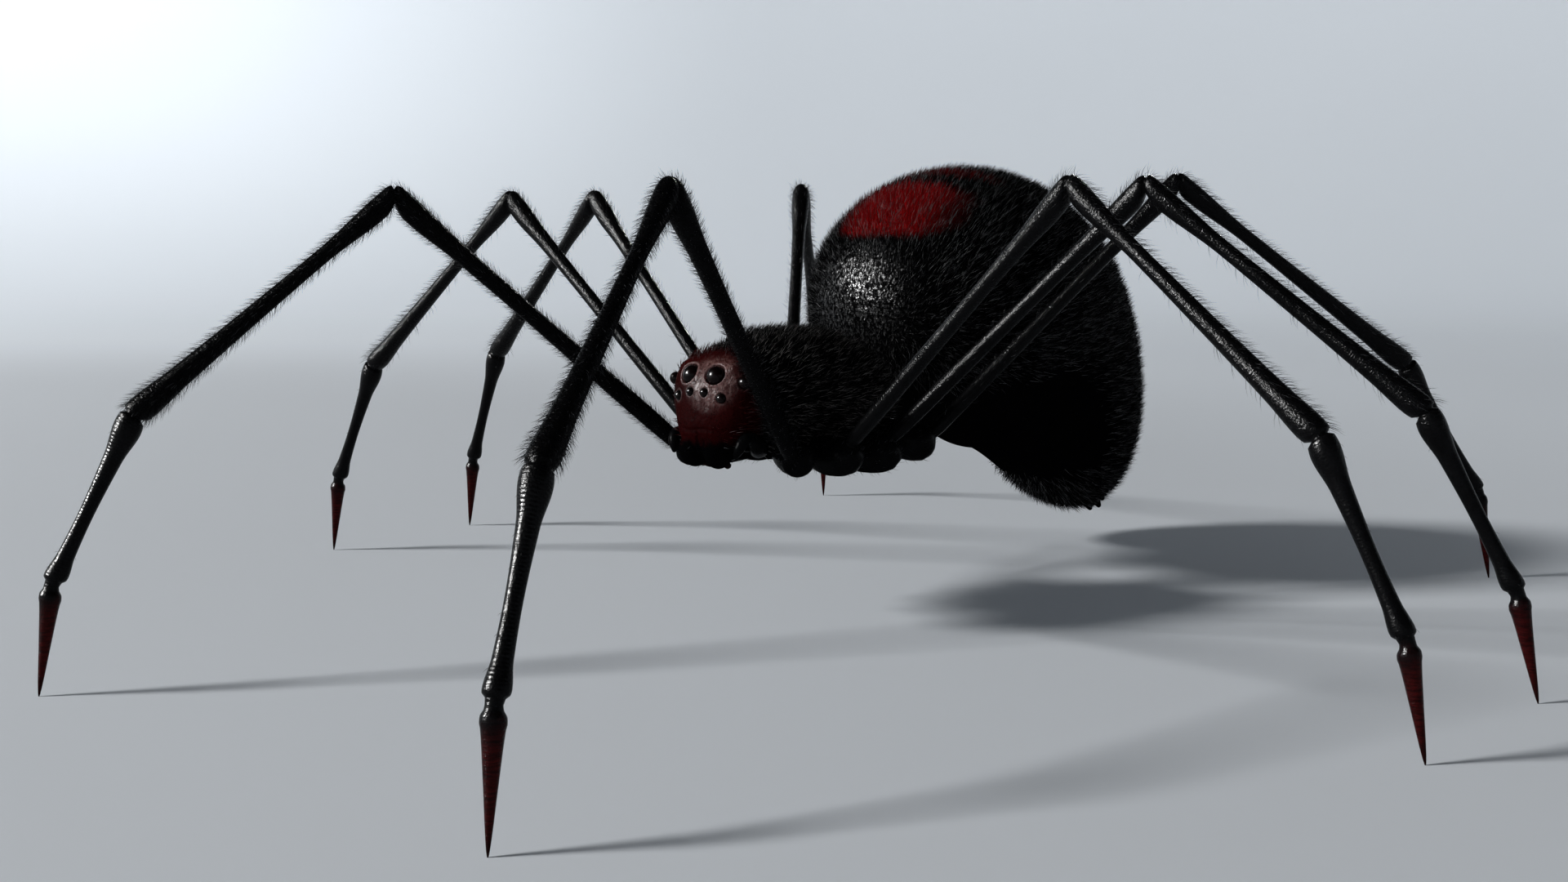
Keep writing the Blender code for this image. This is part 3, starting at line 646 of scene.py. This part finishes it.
def body_skin():
    look = Finish("body skin")
    colour, face = body_colour(look, BLACK_SKIN)
    brown = look.mix(look.noise(6.0, 5.0, 0.65), (0.018, 0.0012, 0.0014), (0.048, 0.0060, 0.0054))
    streaks = look.ramp(look.noise(11.0, 3.0, 0.6, (1.0, 1.0, 0.45)), 0.36, 0.66, 0.25, 1.0)
    # Painted sheen: the brow is tinted pale between the eyes, and made glossier below
    brow = look.times(look.ramp(look.distance_from(BROW_SHEEN_SPOT), 0.68, 0.26), streaks)
    # Painted highlight: a pale tint on the rims, strongest round the main eyes
    rim = look.kept("rim")
    # Painted shade: the face darkens towards the chin
    low = look.ramp(look.z, 4.50, 3.95)
    pores = look.ramp(look.cells(19.0), 0.16, 0.34, 1.0, 0.0)
    # Painted shade: the face darkens towards its sides, which turn from the light
    shaded_flank = look.ramp(look.sum("ABSOLUTE", look.x), 0.46, 0.95)
    # The tints: painted sheen on the brow, painted highlight on the rims, painted shade in the eye sockets,
    # towards the chin and at the sides, and the pores
    for share, most, tint in ((brow, 0.75, (0.23, 0.125, 0.115)), (rim, 0.85, (0.20, 0.105, 0.10)),
                              (look.kept("pit"), 0.80, (0.006, 0.0006, 0.0008)),
                              (low, 0.72, (0.012, 0.0004, 0.0008)), (pores, 0.70, (0.005, 0.0005, 0.0005)),
                              (shaded_flank, 0.82, (0.006, 0.0003, 0.0005))):
        brown = look.mix(look.times(share, most), brown, tint)
    colour = look.mix(face, colour, brown)

    sheen = look.ramp(look.distance_from(SHEEN_SPOT), 2.2, 0.5)
    gloss = look.times(face, look.sum("MAXIMUM", brow, rim))
    rough = look.scaled(gloss, -0.16, look.scaled(sheen, -0.16, 0.50))
    specks = look.ramp(look.noise(21.0, 2.0, 0.5, (1.0, 1.0, 0.55)), 0.46, 0.66)
    shine = look.scaled(gloss, 0.075, look.scaled(look.times(sheen, specks), 0.19, 0.0025))
    shine = look.times(shine, look.sum("SUBTRACT", 1.0, look.kept("bare")))
    shine = look.times(shine, look.ramp(look.z, 3.70, 4.20))

    grain = look.noise(13.0, 2.0, 0.5, (1.0, 1.0, 0.6))
    strength = look.plus(look.noise(2.5, 1.0), 0.3)
    normal = look.bump(look.times(grain, strength), 0.80, 0.042)
    normal = look.bump(look.cells(26.0), 0.30, 0.02, normal)
    return look.finish(colour, rough, shine, Normal=normal)


def leg_skin():
    look = Finish("leg skin")
    red = look.ramp(look.plus(look.z, look.scaled(look.noise(3.0), 0.5, -0.25)),
                    TARSUS_RED_Z + 0.05, TARSUS_RED_Z - 0.55)
    colour = look.mix(look.noise(6.0, 3.0), (0.0012, 0.0012, 0.0014), (0.0040, 0.0040, 0.0045))
    wrinkles = look.noise(6.0, 4.0, 0.65, (0.7, 0.7, 5.0))
    tarsus = look.mix(look.ramp(wrinkles, 0.32, 0.68), (0.010, 0.0008, 0.0008), (0.046, 0.0032, 0.0032))
    tarsus = look.mix(look.ramp(look.z, 0.45, 0.05), tarsus, (0.010, 0.001, 0.001))
    colour = look.mix(red, colour, tarsus)

    # A grain that is drawn out round the leg, and fine rings on the metatarsi of the front legs
    run = look.kept("leg_run")
    round_leg = look.node("ShaderNodeCombineXYZ",
                          {"X": run, "Y": look.times(look.x, 0.32), "Z": look.times(look.z, 0.32)})
    grain = look.noise(36.0, place=round_leg.outputs[0])
    normal = look.bump(look.times(grain, look.ramp(look.z, 4.2, 5.0, 0.35, 1.0)), 0.55, 0.018)
    fine = look.times(look.noise(27.0, roughness=0.6), look.ramp(look.z, 4.2, 5.0, 0.5, 1.0))
    normal = look.bump(fine, 0.60, 0.024, normal)
    rings = look.sum("SINE", look.times(run, 2 * math.pi / RING_STEP))
    for share in (look.ramp(look.z, 4.75, 4.45), look.ramp(run, 9.0, 10.0), look.ramp(look.z, 1.75, 2.00),
                  look.ramp(look.y, -5.0, -9.0, 0.20, 1.0)):
        rings = look.times(rings, share)
    normal = look.bump(rings, 0.22, 0.006, normal)
    normal = look.bump(look.times(wrinkles, red), 0.28, 0.04, normal)

    # Gloss: full away from the body, and less on the front femora and on what faces the ground
    above = look.ramp(look.z, 3.05, 3.75)
    roots = look.times(look.ramp(look.y, -2.0, -1.2, 0.0, 0.6), above)
    outer = look.sum("MAXIMUM", look.ramp(look.distance_from((0.0, 0.0, 3.6)), 3.6, 5.0), roots)
    front = look.times(look.ramp(look.y, -1.8, -2.6), look.ramp(look.z, 4.2, 5.0))
    outer = look.times(outer, look.scaled(front, -0.75, 1.0))
    shine = look.scaled(outer, 0.040, look.times(above, 0.004))
    return look.finish(colour, look.scaled(look.noise(11.0), 0.16, 0.16), shine, Normal=normal)


def eye_finish():
    look = Finish("eye")
    colour = look.mix(look.noise(6.0), (0.0010, 0.0010, 0.0010), (0.0060, 0.0012, 0.0012))
    return look.finish(colour, look.scaled(look.noise(9.0), 0.06, 0.20), 0.090)


def fang_finish():
    look = Finish("fang")
    colour = look.mix(look.noise(5.0), (0.003, 0.0014, 0.0012), (0.006, 0.0022, 0.0020))
    return look.finish(colour, 0.5, 0.003, Normal=look.bump(look.noise(12.0), 0.3, 0.02))


def coat_finish(name, dark, light, marked):
    """The look of the strands: most of them dark, some paler, and marked like the skin if asked. The paler
    grey is partly the hairs' own and partly a painted sheen of single hairs.
    """
    look = Finish(name)
    tone = look.tone(170.0)
    colour = look.mix(look.ramp(tone, 0.54, 0.68), dark, light)
    if marked:
        strands = colour
        colour, face = body_colour(look, strands)
        colour = look.mix(look.ramp(tone, 0.42, 0.62, 0.12, 0.65), colour, strands)
        colour = look.mix(look.times(face, 0.75), colour, (0.045, 0.006, 0.006))
    return look.finish(colour, look.scaled(look.noise(20.0), 0.2, 0.30),
                       look.ramp(tone, 0.52, 0.68, 0.0010, 0.055))


def keep_on_points(mesh, name, values):
    """Keeps a number or a direction for each point of a mesh."""
    values = np.asarray(values, np.float32)
    kind, key = ("FLOAT", "value") if values.ndim == 1 else ("FLOAT_VECTOR", "vector")
    mesh.attributes.new(name, kind, "POINT").data.foreach_set(key, values.ravel())


def strand_template():
    """One strand a unit long, as an object: three sides, a joint at its middle and a pointed tip."""
    angle = angles(STRAND_SIDES)
    ring = np.stack([np.cos(angle), np.sin(angle), np.zeros(STRAND_SIDES)], axis=1)
    points = np.concatenate([ring, ring * 0.72 + (0.0, 0.0, 0.52), [[0.0, 0.0, 1.0]]])
    side = np.arange(STRAND_SIDES)
    after = (side + 1) % STRAND_SIDES
    point = np.full(STRAND_SIDES, 2 * STRAND_SIDES)
    tips = np.stack([side + STRAND_SIDES, after + STRAND_SIDES, point], axis=1)
    obj = make_mesh("strand", points / MM, [ring_quads(2, STRAND_SIDES), tips, side[None, ::-1]])
    patch = np.stack([points[:, 0] * 0.5, points[:, 2] - 0.5, np.zeros(len(points))], axis=1)
    keep_on_points(obj.data, "patch", patch)
    return obj


def coat_tree(strand):
    """A node tree that grows strands over a bed, along the directions kept on its points."""
    tree = bpy.data.node_groups.new("coat", "GeometryNodeTree")
    for name, kind in (("Bed", "Geometry"), ("Strands per square metre", "Float"), ("Thickness", "Float"),
                       ("Bend", "Float"), ("Stray", "Float"), ("Seed", "Int"), ("Finish", "Material")):
        tree.interface.new_socket(name, in_out="INPUT", socket_type=f"NodeSocket{kind}")
    tree.interface.new_socket("Coat", in_out="OUTPUT", socket_type="NodeSocketGeometry")
    given = tree.nodes.new("NodeGroupInput").outputs

    def node(kind, inputs, **settings):
        return add_node(tree, kind, inputs, **settings)

    def kept(name, kind="FLOAT_VECTOR"):
        return node("GeometryNodeInputNamedAttribute", {"Name": name}, data_type=kind).outputs["Attribute"]

    def times(first, second):
        return node("ShaderNodeMath", {0: first, 1: second}, operation="MULTIPLY").outputs[0]

    def plus(first, second):
        return node("ShaderNodeMath", {0: first, 1: second}, operation="ADD").outputs[0]

    def scaled(vector, by):
        return node("ShaderNodeVectorMath", {0: vector, "Scale": by}, operation="SCALE").outputs[0]

    def joined(first, second):
        return node("ShaderNodeVectorMath", {0: first, 1: second}, operation="ADD").outputs[0]

    def chance(kind, low, high, seed_shift):
        made = node("FunctionNodeRandomValue", {"Seed": plus(given["Seed"], seed_shift)}, data_type=kind)
        lowest, highest = [s for s in made.inputs if s.enabled and s.name in ("Min", "Max")]
        lowest.default_value, highest.default_value = low, high
        return [s for s in made.outputs if s.enabled][0]

    # Roots scattered over the bed
    amount = times(given["Strands per square metre"], kept("growth", "FLOAT"))
    spread = node("GeometryNodeDistributePointsOnFaces",
                  {"Mesh": given["Bed"], "Density": amount, "Seed": given["Seed"]},
                  distribute_method="RANDOM")

    # A strand on each, leaning the way that the coat lies
    stray = scaled(chance("FLOAT_VECTOR", (-1.0,) * 3, (1.0,) * 3, 11), given["Stray"])
    stand = node("FunctionNodeAlignRotationToVector", {"Vector": joined(kept("lie"), stray)}, axis="Z")
    turn = node("FunctionNodeAlignRotationToVector",
                {"Rotation": stand.outputs["Rotation"], "Vector": kept("comb")}, axis="X", pivot_axis="Z")
    length = times(kept("reach", "FLOAT"), chance("FLOAT", 0.55, 1.0, 23))
    size = node("ShaderNodeCombineXYZ", {"X": given["Thickness"], "Y": given["Thickness"], "Z": length})
    source = node("GeometryNodeObjectInfo", {"Object": strand})
    plant = node("GeometryNodeInstanceOnPoints", {
        "Points": spread.outputs["Points"], "Instance": source.outputs["Geometry"],
        "Rotation": turn.outputs["Rotation"], "Scale": size.outputs[0]})
    real = node("GeometryNodeRealizeInstances", {"Geometry": plant.outputs["Instances"]})

    # Each bent towards its tip, along the skin
    patch = kept("patch")
    high = plus(node("ShaderNodeSeparateXYZ", {0: patch}).outputs["Y"], 0.5)
    far = times(times(times(high, high), kept("reach", "FLOAT")), given["Bend"])
    bend = node("GeometryNodeSetPosition",
                {"Geometry": real.outputs[0], "Offset": scaled(kept("comb"), far)})

    # Its patch of the map, at its root's place
    place = joined(kept("bed_map"), scaled(patch, STRAND_PATCH))
    bake = node("GeometryNodeStoreNamedAttribute",
                {"Name": "OFBake", "Geometry": bend.outputs[0], "Value": place},
                data_type="FLOAT2", domain="CORNER")
    paint = node("GeometryNodeSetMaterial", {"Geometry": bake.outputs[0], "Material": given["Finish"]})
    node("NodeGroupOutput", {"Coat": paint.outputs[0]})
    return tree


def coat_bed(form, growth, lie, comb, reach, rows=None, chart=(0.0, 1.0)):
    """The part of a form that carries a coat, and what each of its points keeps for the strands.

    rows limits it to some of the form's rings, and chart to a band of the OFBake map.
    """
    first, last = rows or (0, len(form.rings))
    rings = form.rings[first:last]

    def spread(values):
        """Values for the bed's points, the first of each ring repeated at its end."""
        values = values[first:last]
        return np.concatenate([values, values[:, :1]], axis=1).reshape(-1, *values.shape[2:])

    count, wide = rings.shape[0], rings.shape[1] + 1
    left, right = chart
    steps = np.linalg.norm(np.diff(rings, axis=0), axis=2).mean(axis=1)
    run = np.concatenate([[0.0], np.cumsum(steps)]) / steps.sum()
    u, v = np.meshgrid(left + (right - left) * np.linspace(0.01, 0.99, wide), 0.01 + 0.98 * run)
    bed_map = np.stack([u, v, np.zeros_like(u)], axis=-1).reshape(-1, 3)
    kept = {"growth": spread(growth), "lie": spread(lie), "comb": spread(comb), "reach": spread(reach) * MM,
            "bed_map": bed_map}
    return spread(form.rings), ring_quads(count, wide, closed=False), kept


def grow_coat(name, beds, tree, finish, per_mm2, thickness, bend, stray, seed):
    """Grows one coat piece over its beds and turns the result into a plain mesh."""
    points, quads, kept = zip(*beds)
    offsets = np.cumsum([0] + [len(own) for own in points])
    bed = make_mesh(f"{name}_bed", np.concatenate(points),
                    [np.concatenate([own + offset for own, offset in zip(quads, offsets)])])
    for label in kept[0]:
        keep_on_points(bed.data, label, np.concatenate([own[label] for own in kept]))
    modifier = bed.modifiers.new("coat", "NODES")
    modifier.node_group = tree
    inputs = {item.name: item.identifier for item in tree.interface.items_tree if item.in_out == "INPUT"}
    for label, value in (("Strands per square metre", per_mm2 / MM**2), ("Thickness", thickness * MM),
                         ("Bend", bend), ("Stray", stray), ("Seed", seed), ("Finish", finish)):
        modifier[inputs[label]] = value
    bpy.context.view_layer.update()
    graph = bpy.context.evaluated_depsgraph_get()
    mesh = bpy.data.meshes.new_from_object(bed.evaluated_get(graph), preserve_all_data_layers=True,
                                           depsgraph=graph)
    bpy.data.objects.remove(bed, do_unlink=True)
    for label in (*kept[0], "patch"):
        if label in mesh.attributes:
            mesh.attributes.remove(mesh.attributes[label])
    mesh.name = name
    mesh.shade_smooth()
    obj = bpy.data.objects.new(name, mesh)
    bpy.context.scene.collection.objects.link(obj)
    return obj


def lie_field(form, sweep, lift):
    """Directions of the strands: out of the skin by lift, and along it as the sweep runs."""
    sweep = np.broadcast_to(np.asarray(sweep, float), form.rings.shape)
    comb = sweep - (sweep * form.normals).sum(axis=-1, keepdims=True) * form.normals
    return unit(form.normals * lift + comb), comb


def abdomen_beds(form):
    """Five beds, from the front of the abdomen to its tip, with short thin hair on the sheen spot."""
    lie, comb = lie_field(form, (0.0, 1.0, 0.35), 0.55 + 0.85 * np.maximum(0, form.normals[..., 2:]))
    glossy = 1 - smooth_step(np.linalg.norm(form.rings - SHEEN_SPOT, axis=-1), 0.7, 2.0)
    growth = (1 - form.bare) * (1 - 0.86 * glossy)
    reach = ABDOMEN_HAIR * (1 - 0.45 * glossy)
    return [coat_bed(form, growth, lie, comb, reach, (max(first - 1, 0), last))
            for first, last in zip(ABDOMEN_CUTS, ABDOMEN_CUTS[1:])]


def carapace_bed(form, head):
    """The bed of the head, with a nearly bare face, or that of the thorax."""
    x, y, z = np.moveaxis(form.rings, -1, 0)
    lie, comb = lie_field(form, (0.0, 1.0, 0.25), 0.40 + 1.00 * np.maximum(0, form.normals[..., 2:]) ** 2)
    if head:
        front = smooth_step(-y, 2.25, 2.65)
        low = 1 - smooth_step(z, 3.9, 4.3)
        growth = (1 - 0.97 * front) * smooth_step(-y, 1.7, 1.9) * smooth_step(z, 3.5, 3.7)
        growth = np.maximum(growth, 0.35 * front * low * smooth_step(np.abs(x), 0.35, 0.6))
        reach = np.full(x.shape, HEAD_HAIR)
    else:
        growth = (1 - smooth_step(-y, 1.7, 1.95)) * smooth_step(z, 3.35, 3.75)
        reach = THORAX_HAIR - 0.06 * smooth_step(-y, 0.9, 1.9)
    return coat_bed(form, growth, lie, comb, reach)


def leg_bed(form, index):
    """Bristles stand out from a leg's segments and point towards its tip."""
    lie = unit(form.normals * 0.9 + form.along * 0.7)
    growth, reach = np.zeros((2, *form.rings.shape[:2]))
    for segment, first_amount, last_amount, size in LEG_BRISTLES:
        first, last = form.spans[segment]
        share = np.linspace(0.0, 1.0, last - first)[:, None]
        growth[first:last] = first_amount + (last_amount - first_amount) * share**2
        reach[first:last] = size
    growth *= 0.12 + 0.88 * smooth_step(form.normals[..., 2], -0.3, 0.4)
    if form.name.startswith("leg1"):
        for segment, amount, size in FRONT_BRISTLES:
            first, last = form.spans[segment]
            growth[first:last], reach[first:last] = amount, size
    rows = BURIED_RINGS, form.spans["metatarsus"][1]
    return coat_bed(form, growth, lie, form.along, reach, rows, (index / 4, (index + 1) / 4))


def make_eyes(surface):
    made = []
    for kind, centre, radius, *_ in EYES:
        for side, word in ((1, "left"), (-1, "right")):
            name = f"eyeball_{kind}_{word}"
            form = ball_form(name, mirrored(centre, side), radius, 40, 24)
            made.append((join_forms(name, [form], [surface]), f"eye_{kind}_{word}"))
    return made


def make_spinneret_forms():
    aim = unit(SPINNERET_AIM)
    level, other = frame_across(aim)
    mound = [(*(SPINNERET_ROOT + aim * reach), radius) for reach, radius in SPINNERET_MOUND]
    forms = [tube_form("mound", mound, 24, rows=8)]
    for i in range(SPINNERETS):
        angle = 2 * math.pi * (i + 0.5) / SPINNERETS
        offset = (level * math.cos(angle) + other * math.sin(angle)) * SPINNERET_CIRCLE
        foot = SPINNERET_ROOT + offset * 0.8
        tip = SPINNERET_ROOT + offset + aim * SPINNERET_LENGTH
        path = [(*foot, SPINNERET_RADIUS), (*((foot + tip) / 2), SPINNERET_RADIUS * 0.95),
                (*tip, SPINNERET_RADIUS * 0.5)]
        forms.append(tube_form(f"spinneret_{i}", path, 14, rows=8))
    return forms


def make_floor():
    """A pale floor that sweeps up all round into a low backdrop, which glows softly: painted light that
    grows further out and is brightest at one place on the backdrop.
    """
    profile = [(1.0, 0.0), (60.0, 0.0), (FLOOR_FLAT, 0.0)]
    profile += [(FLOOR_FLAT + FLOOR_SWEEP * math.sin(bend), 0.8 * FLOOR_SWEEP * (1 - math.cos(bend)))
                for bend in np.linspace(0, np.pi / 2, 15)[1:]]
    rings = np.array([[(reach * math.cos(turn), reach * math.sin(turn), height)
                       for turn in angles(FLOOR_SIDES)] for reach, height in profile])
    points = np.concatenate([rings.reshape(-1, 3), [[0.0, 0.0, 0.0]]])
    side = np.arange(FLOOR_SIDES)
    middle = np.stack([side, (side + 1) % FLOOR_SIDES, np.full(FLOOR_SIDES, len(points) - 1)], axis=-1)
    floor = make_mesh("floor", points, [ring_quads(len(rings), FLOOR_SIDES)[:, ::-1], middle])
    look = Finish("floor")
    colour = look.mix(look.noise(0.02), (0.74, 0.78, 0.83), (0.78, 0.82, 0.87))
    # Painted light: the floor glows more further out, and the backdrop most round its bright spot
    glow = look.ramp(look.distance_from((0.0, 0.0, 0.0)), 25.0, 190.0, 0.0, 0.14)
    glow = look.plus(glow, look.ramp(look.distance_from((-40.0, -30.0, 0.0)), 50.0, 95.0, 0.0, 0.10))
    bright = look.ramp(look.distance_from(BACKDROP_GLOW), 130.0, 5.0, 0.0, 0.52)
    emission = {"Emission Color": (0.86, 0.93, 1.0), "Emission Strength": look.plus(glow, bright)}
    floor.data.materials.append(look.finish(colour, 0.8, 0.1, **emission))


def add_light(name, place, size, watts, colour=(1.0, 1.0, 1.0)):
    """A round soft light that shines at the middle of the body."""
    turn, rise, distance = math.radians(place[0]), math.radians(place[1]), place[2]
    out = distance * math.cos(rise)
    place = (out * math.cos(turn), out * math.sin(turn), distance * math.sin(rise))
    light = bpy.data.lights.new(name, "AREA")
    light.shape = "DISK"
    light.size = size
    light.energy = watts
    light.color = colour
    obj = bpy.data.objects.new(name, light)
    obj.location = place
    obj.rotation_euler = (Vector(LIT_POINT) - Vector(place)).to_track_quat("-Z", "Y").to_euler()
    bpy.context.scene.collection.objects.link(obj)
    return obj


def make_lights():
    add_light(*KEY_LIGHT, (1.0, 0.99, 0.97))
    world = bpy.data.worlds.new("studio")
    world.use_nodes = True
    background = world.node_tree.nodes["Background"]
    background.inputs["Color"].default_value = (0.78, 0.84, 0.92, 1.0)
    background.inputs["Strength"].default_value = 0.01
    bpy.context.scene.world = world
    bpy.context.scene.view_settings.view_transform = "Standard"


def add_sheen_lights(lit):
    """Lights that only add sheen to the animal: one below the key light, one low behind it."""
    receivers = bpy.data.collections.new("sheen")
    for obj in lit:
        receivers.objects.link(obj)
    for settings in SHEEN_LIGHTS:
        lamp = add_light(*settings)
        lamp.visible_diffuse = False
        lamp.light_linking.receiver_collection = receivers


def make_camera():
    camera = bpy.data.objects.new("camera", bpy.data.cameras.new("camera"))
    camera.data.lens = LENS
    camera.data.sensor_width = SENSOR
    camera.data.clip_start = 0.0005
    camera.data.clip_end = 5.0
    camera.location = CAMERA_PLACE
    camera.rotation_euler = (math.radians(90) - CAMERA_DIP, 0.0, CAMERA_TURN)
    bpy.context.scene.collection.objects.link(camera)
    bpy.context.scene.camera = camera


def make_skin(body_look, leg_look):
    """One skin over the whole body, and the forms that its coat grows on."""
    carapace, abdomen = carapace_form(), abdomen_form()
    legs = [leg_form(number, side) for number in (1, 2, 3, 4) for side in (1, -1)]
    others = [tube_form("waist", WAIST_PATH, 40)]
    for side in (1, -1):
        others.append(ball_form("chelicera", mirrored(CHELICERA_CENTRE, side), CHELICERA_RADII))
        others.append(tube_form("palp", mirrored(PALP_PATH, side), 24, look=1, rows=34))
    others += make_spinneret_forms()
    forms = [carapace, abdomen, *legs, *others]
    skin = join_forms("skin", forms, [body_look, leg_look])
    for name in ("leg_run", "bare", "rim", "pit"):
        values = []
        for form in forms:
            own = getattr(form, name, np.zeros(form.rings.shape[:2]))
            values.append(np.concatenate([own.ravel(), [own[0].mean(), own[-1].mean()]]))
        keep_on_points(skin.data, name, np.concatenate(values))
    return skin, carapace, abdomen, legs


def skin_nodes(names):
    """The nodes of flesh, which the skin replaces."""
    return [name for name in names if not name.startswith(("eye_", "fang_"))]


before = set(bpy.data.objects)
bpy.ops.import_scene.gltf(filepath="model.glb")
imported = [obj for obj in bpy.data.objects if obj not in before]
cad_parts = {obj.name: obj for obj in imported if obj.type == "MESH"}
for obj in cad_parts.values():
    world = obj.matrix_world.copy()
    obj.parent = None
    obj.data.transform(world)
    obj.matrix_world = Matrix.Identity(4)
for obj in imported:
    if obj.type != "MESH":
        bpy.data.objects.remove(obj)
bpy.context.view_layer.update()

make_camera()
make_lights()
make_floor()

body_look, leg_look = body_skin(), leg_skin()
skin, carapace, abdomen, legs = make_skin(body_look, leg_look)
pieces = [(skin, "black_shell")]

coat_look = coat_finish("coat", BLACK_HAIR, GREY_AND_SHEEN_HAIR, True)
thorax_look = coat_finish("thorax coat", THORAX_BLACK_HAIR, THORAX_GREY_AND_SHEEN_HAIR, True)
bristle_look = coat_finish("bristles", BLACK_HAIR, GREY_AND_SHEEN_BRISTLE, False)
strand = strand_template()
tree = coat_tree(strand)
# Coat pieces, as (name, beds, look, strands per mm2, thickness, bend, stray and seed)
coats = [
    ("coat_thorax", [carapace_bed(carapace, False)], thorax_look, 560, 0.0058, 0.40, 0.62, 5),
    ("coat_head", [carapace_bed(carapace, True)], coat_look, 300, 0.0065, 0.25, 0.30, 7),
]
for word, own, seed in (("left", legs[::2], 9), ("right", legs[1::2], 10)):
    beds = [leg_bed(leg, i) for i, leg in enumerate(own)]
    coats.append((f"coat_legs_{word}", beds, bristle_look, 220, 0.0032, 0.35, 0.30, seed))
for part, bed in zip(("front", "crown", "middle", "back", "tip"), abdomen_beds(abdomen)):
    coats.append((f"coat_abdomen_{part}", [bed], coat_look, 560, 0.0060, 0.35, 0.48, 3))
for name, beds, finish, *amounts in coats:
    pieces.append((grow_coat(name, beds, tree, finish, *amounts), "black_coat"))
bpy.data.objects.remove(strand, do_unlink=True)

for piece, slot in pieces:
    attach(piece, "root")
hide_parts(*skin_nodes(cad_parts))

eye_look = eye_finish()
balls = []
for ball, node in make_eyes(eye_look):
    balls.append(ball)
    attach(ball, "root")
    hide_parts(node)

fang_look = fang_finish()
for side, word in ((1, "left"), (-1, "right")):
    form = tube_form("fang", mirrored(FANG_PATH, side), 20, rows=20)
    fang = join_forms(f"curved_fang_{word}", [form], [fang_look])
    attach(fang, "root")
    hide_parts(f"fang_{word}")

add_sheen_lights([piece for piece, _ in pieces] + balls)
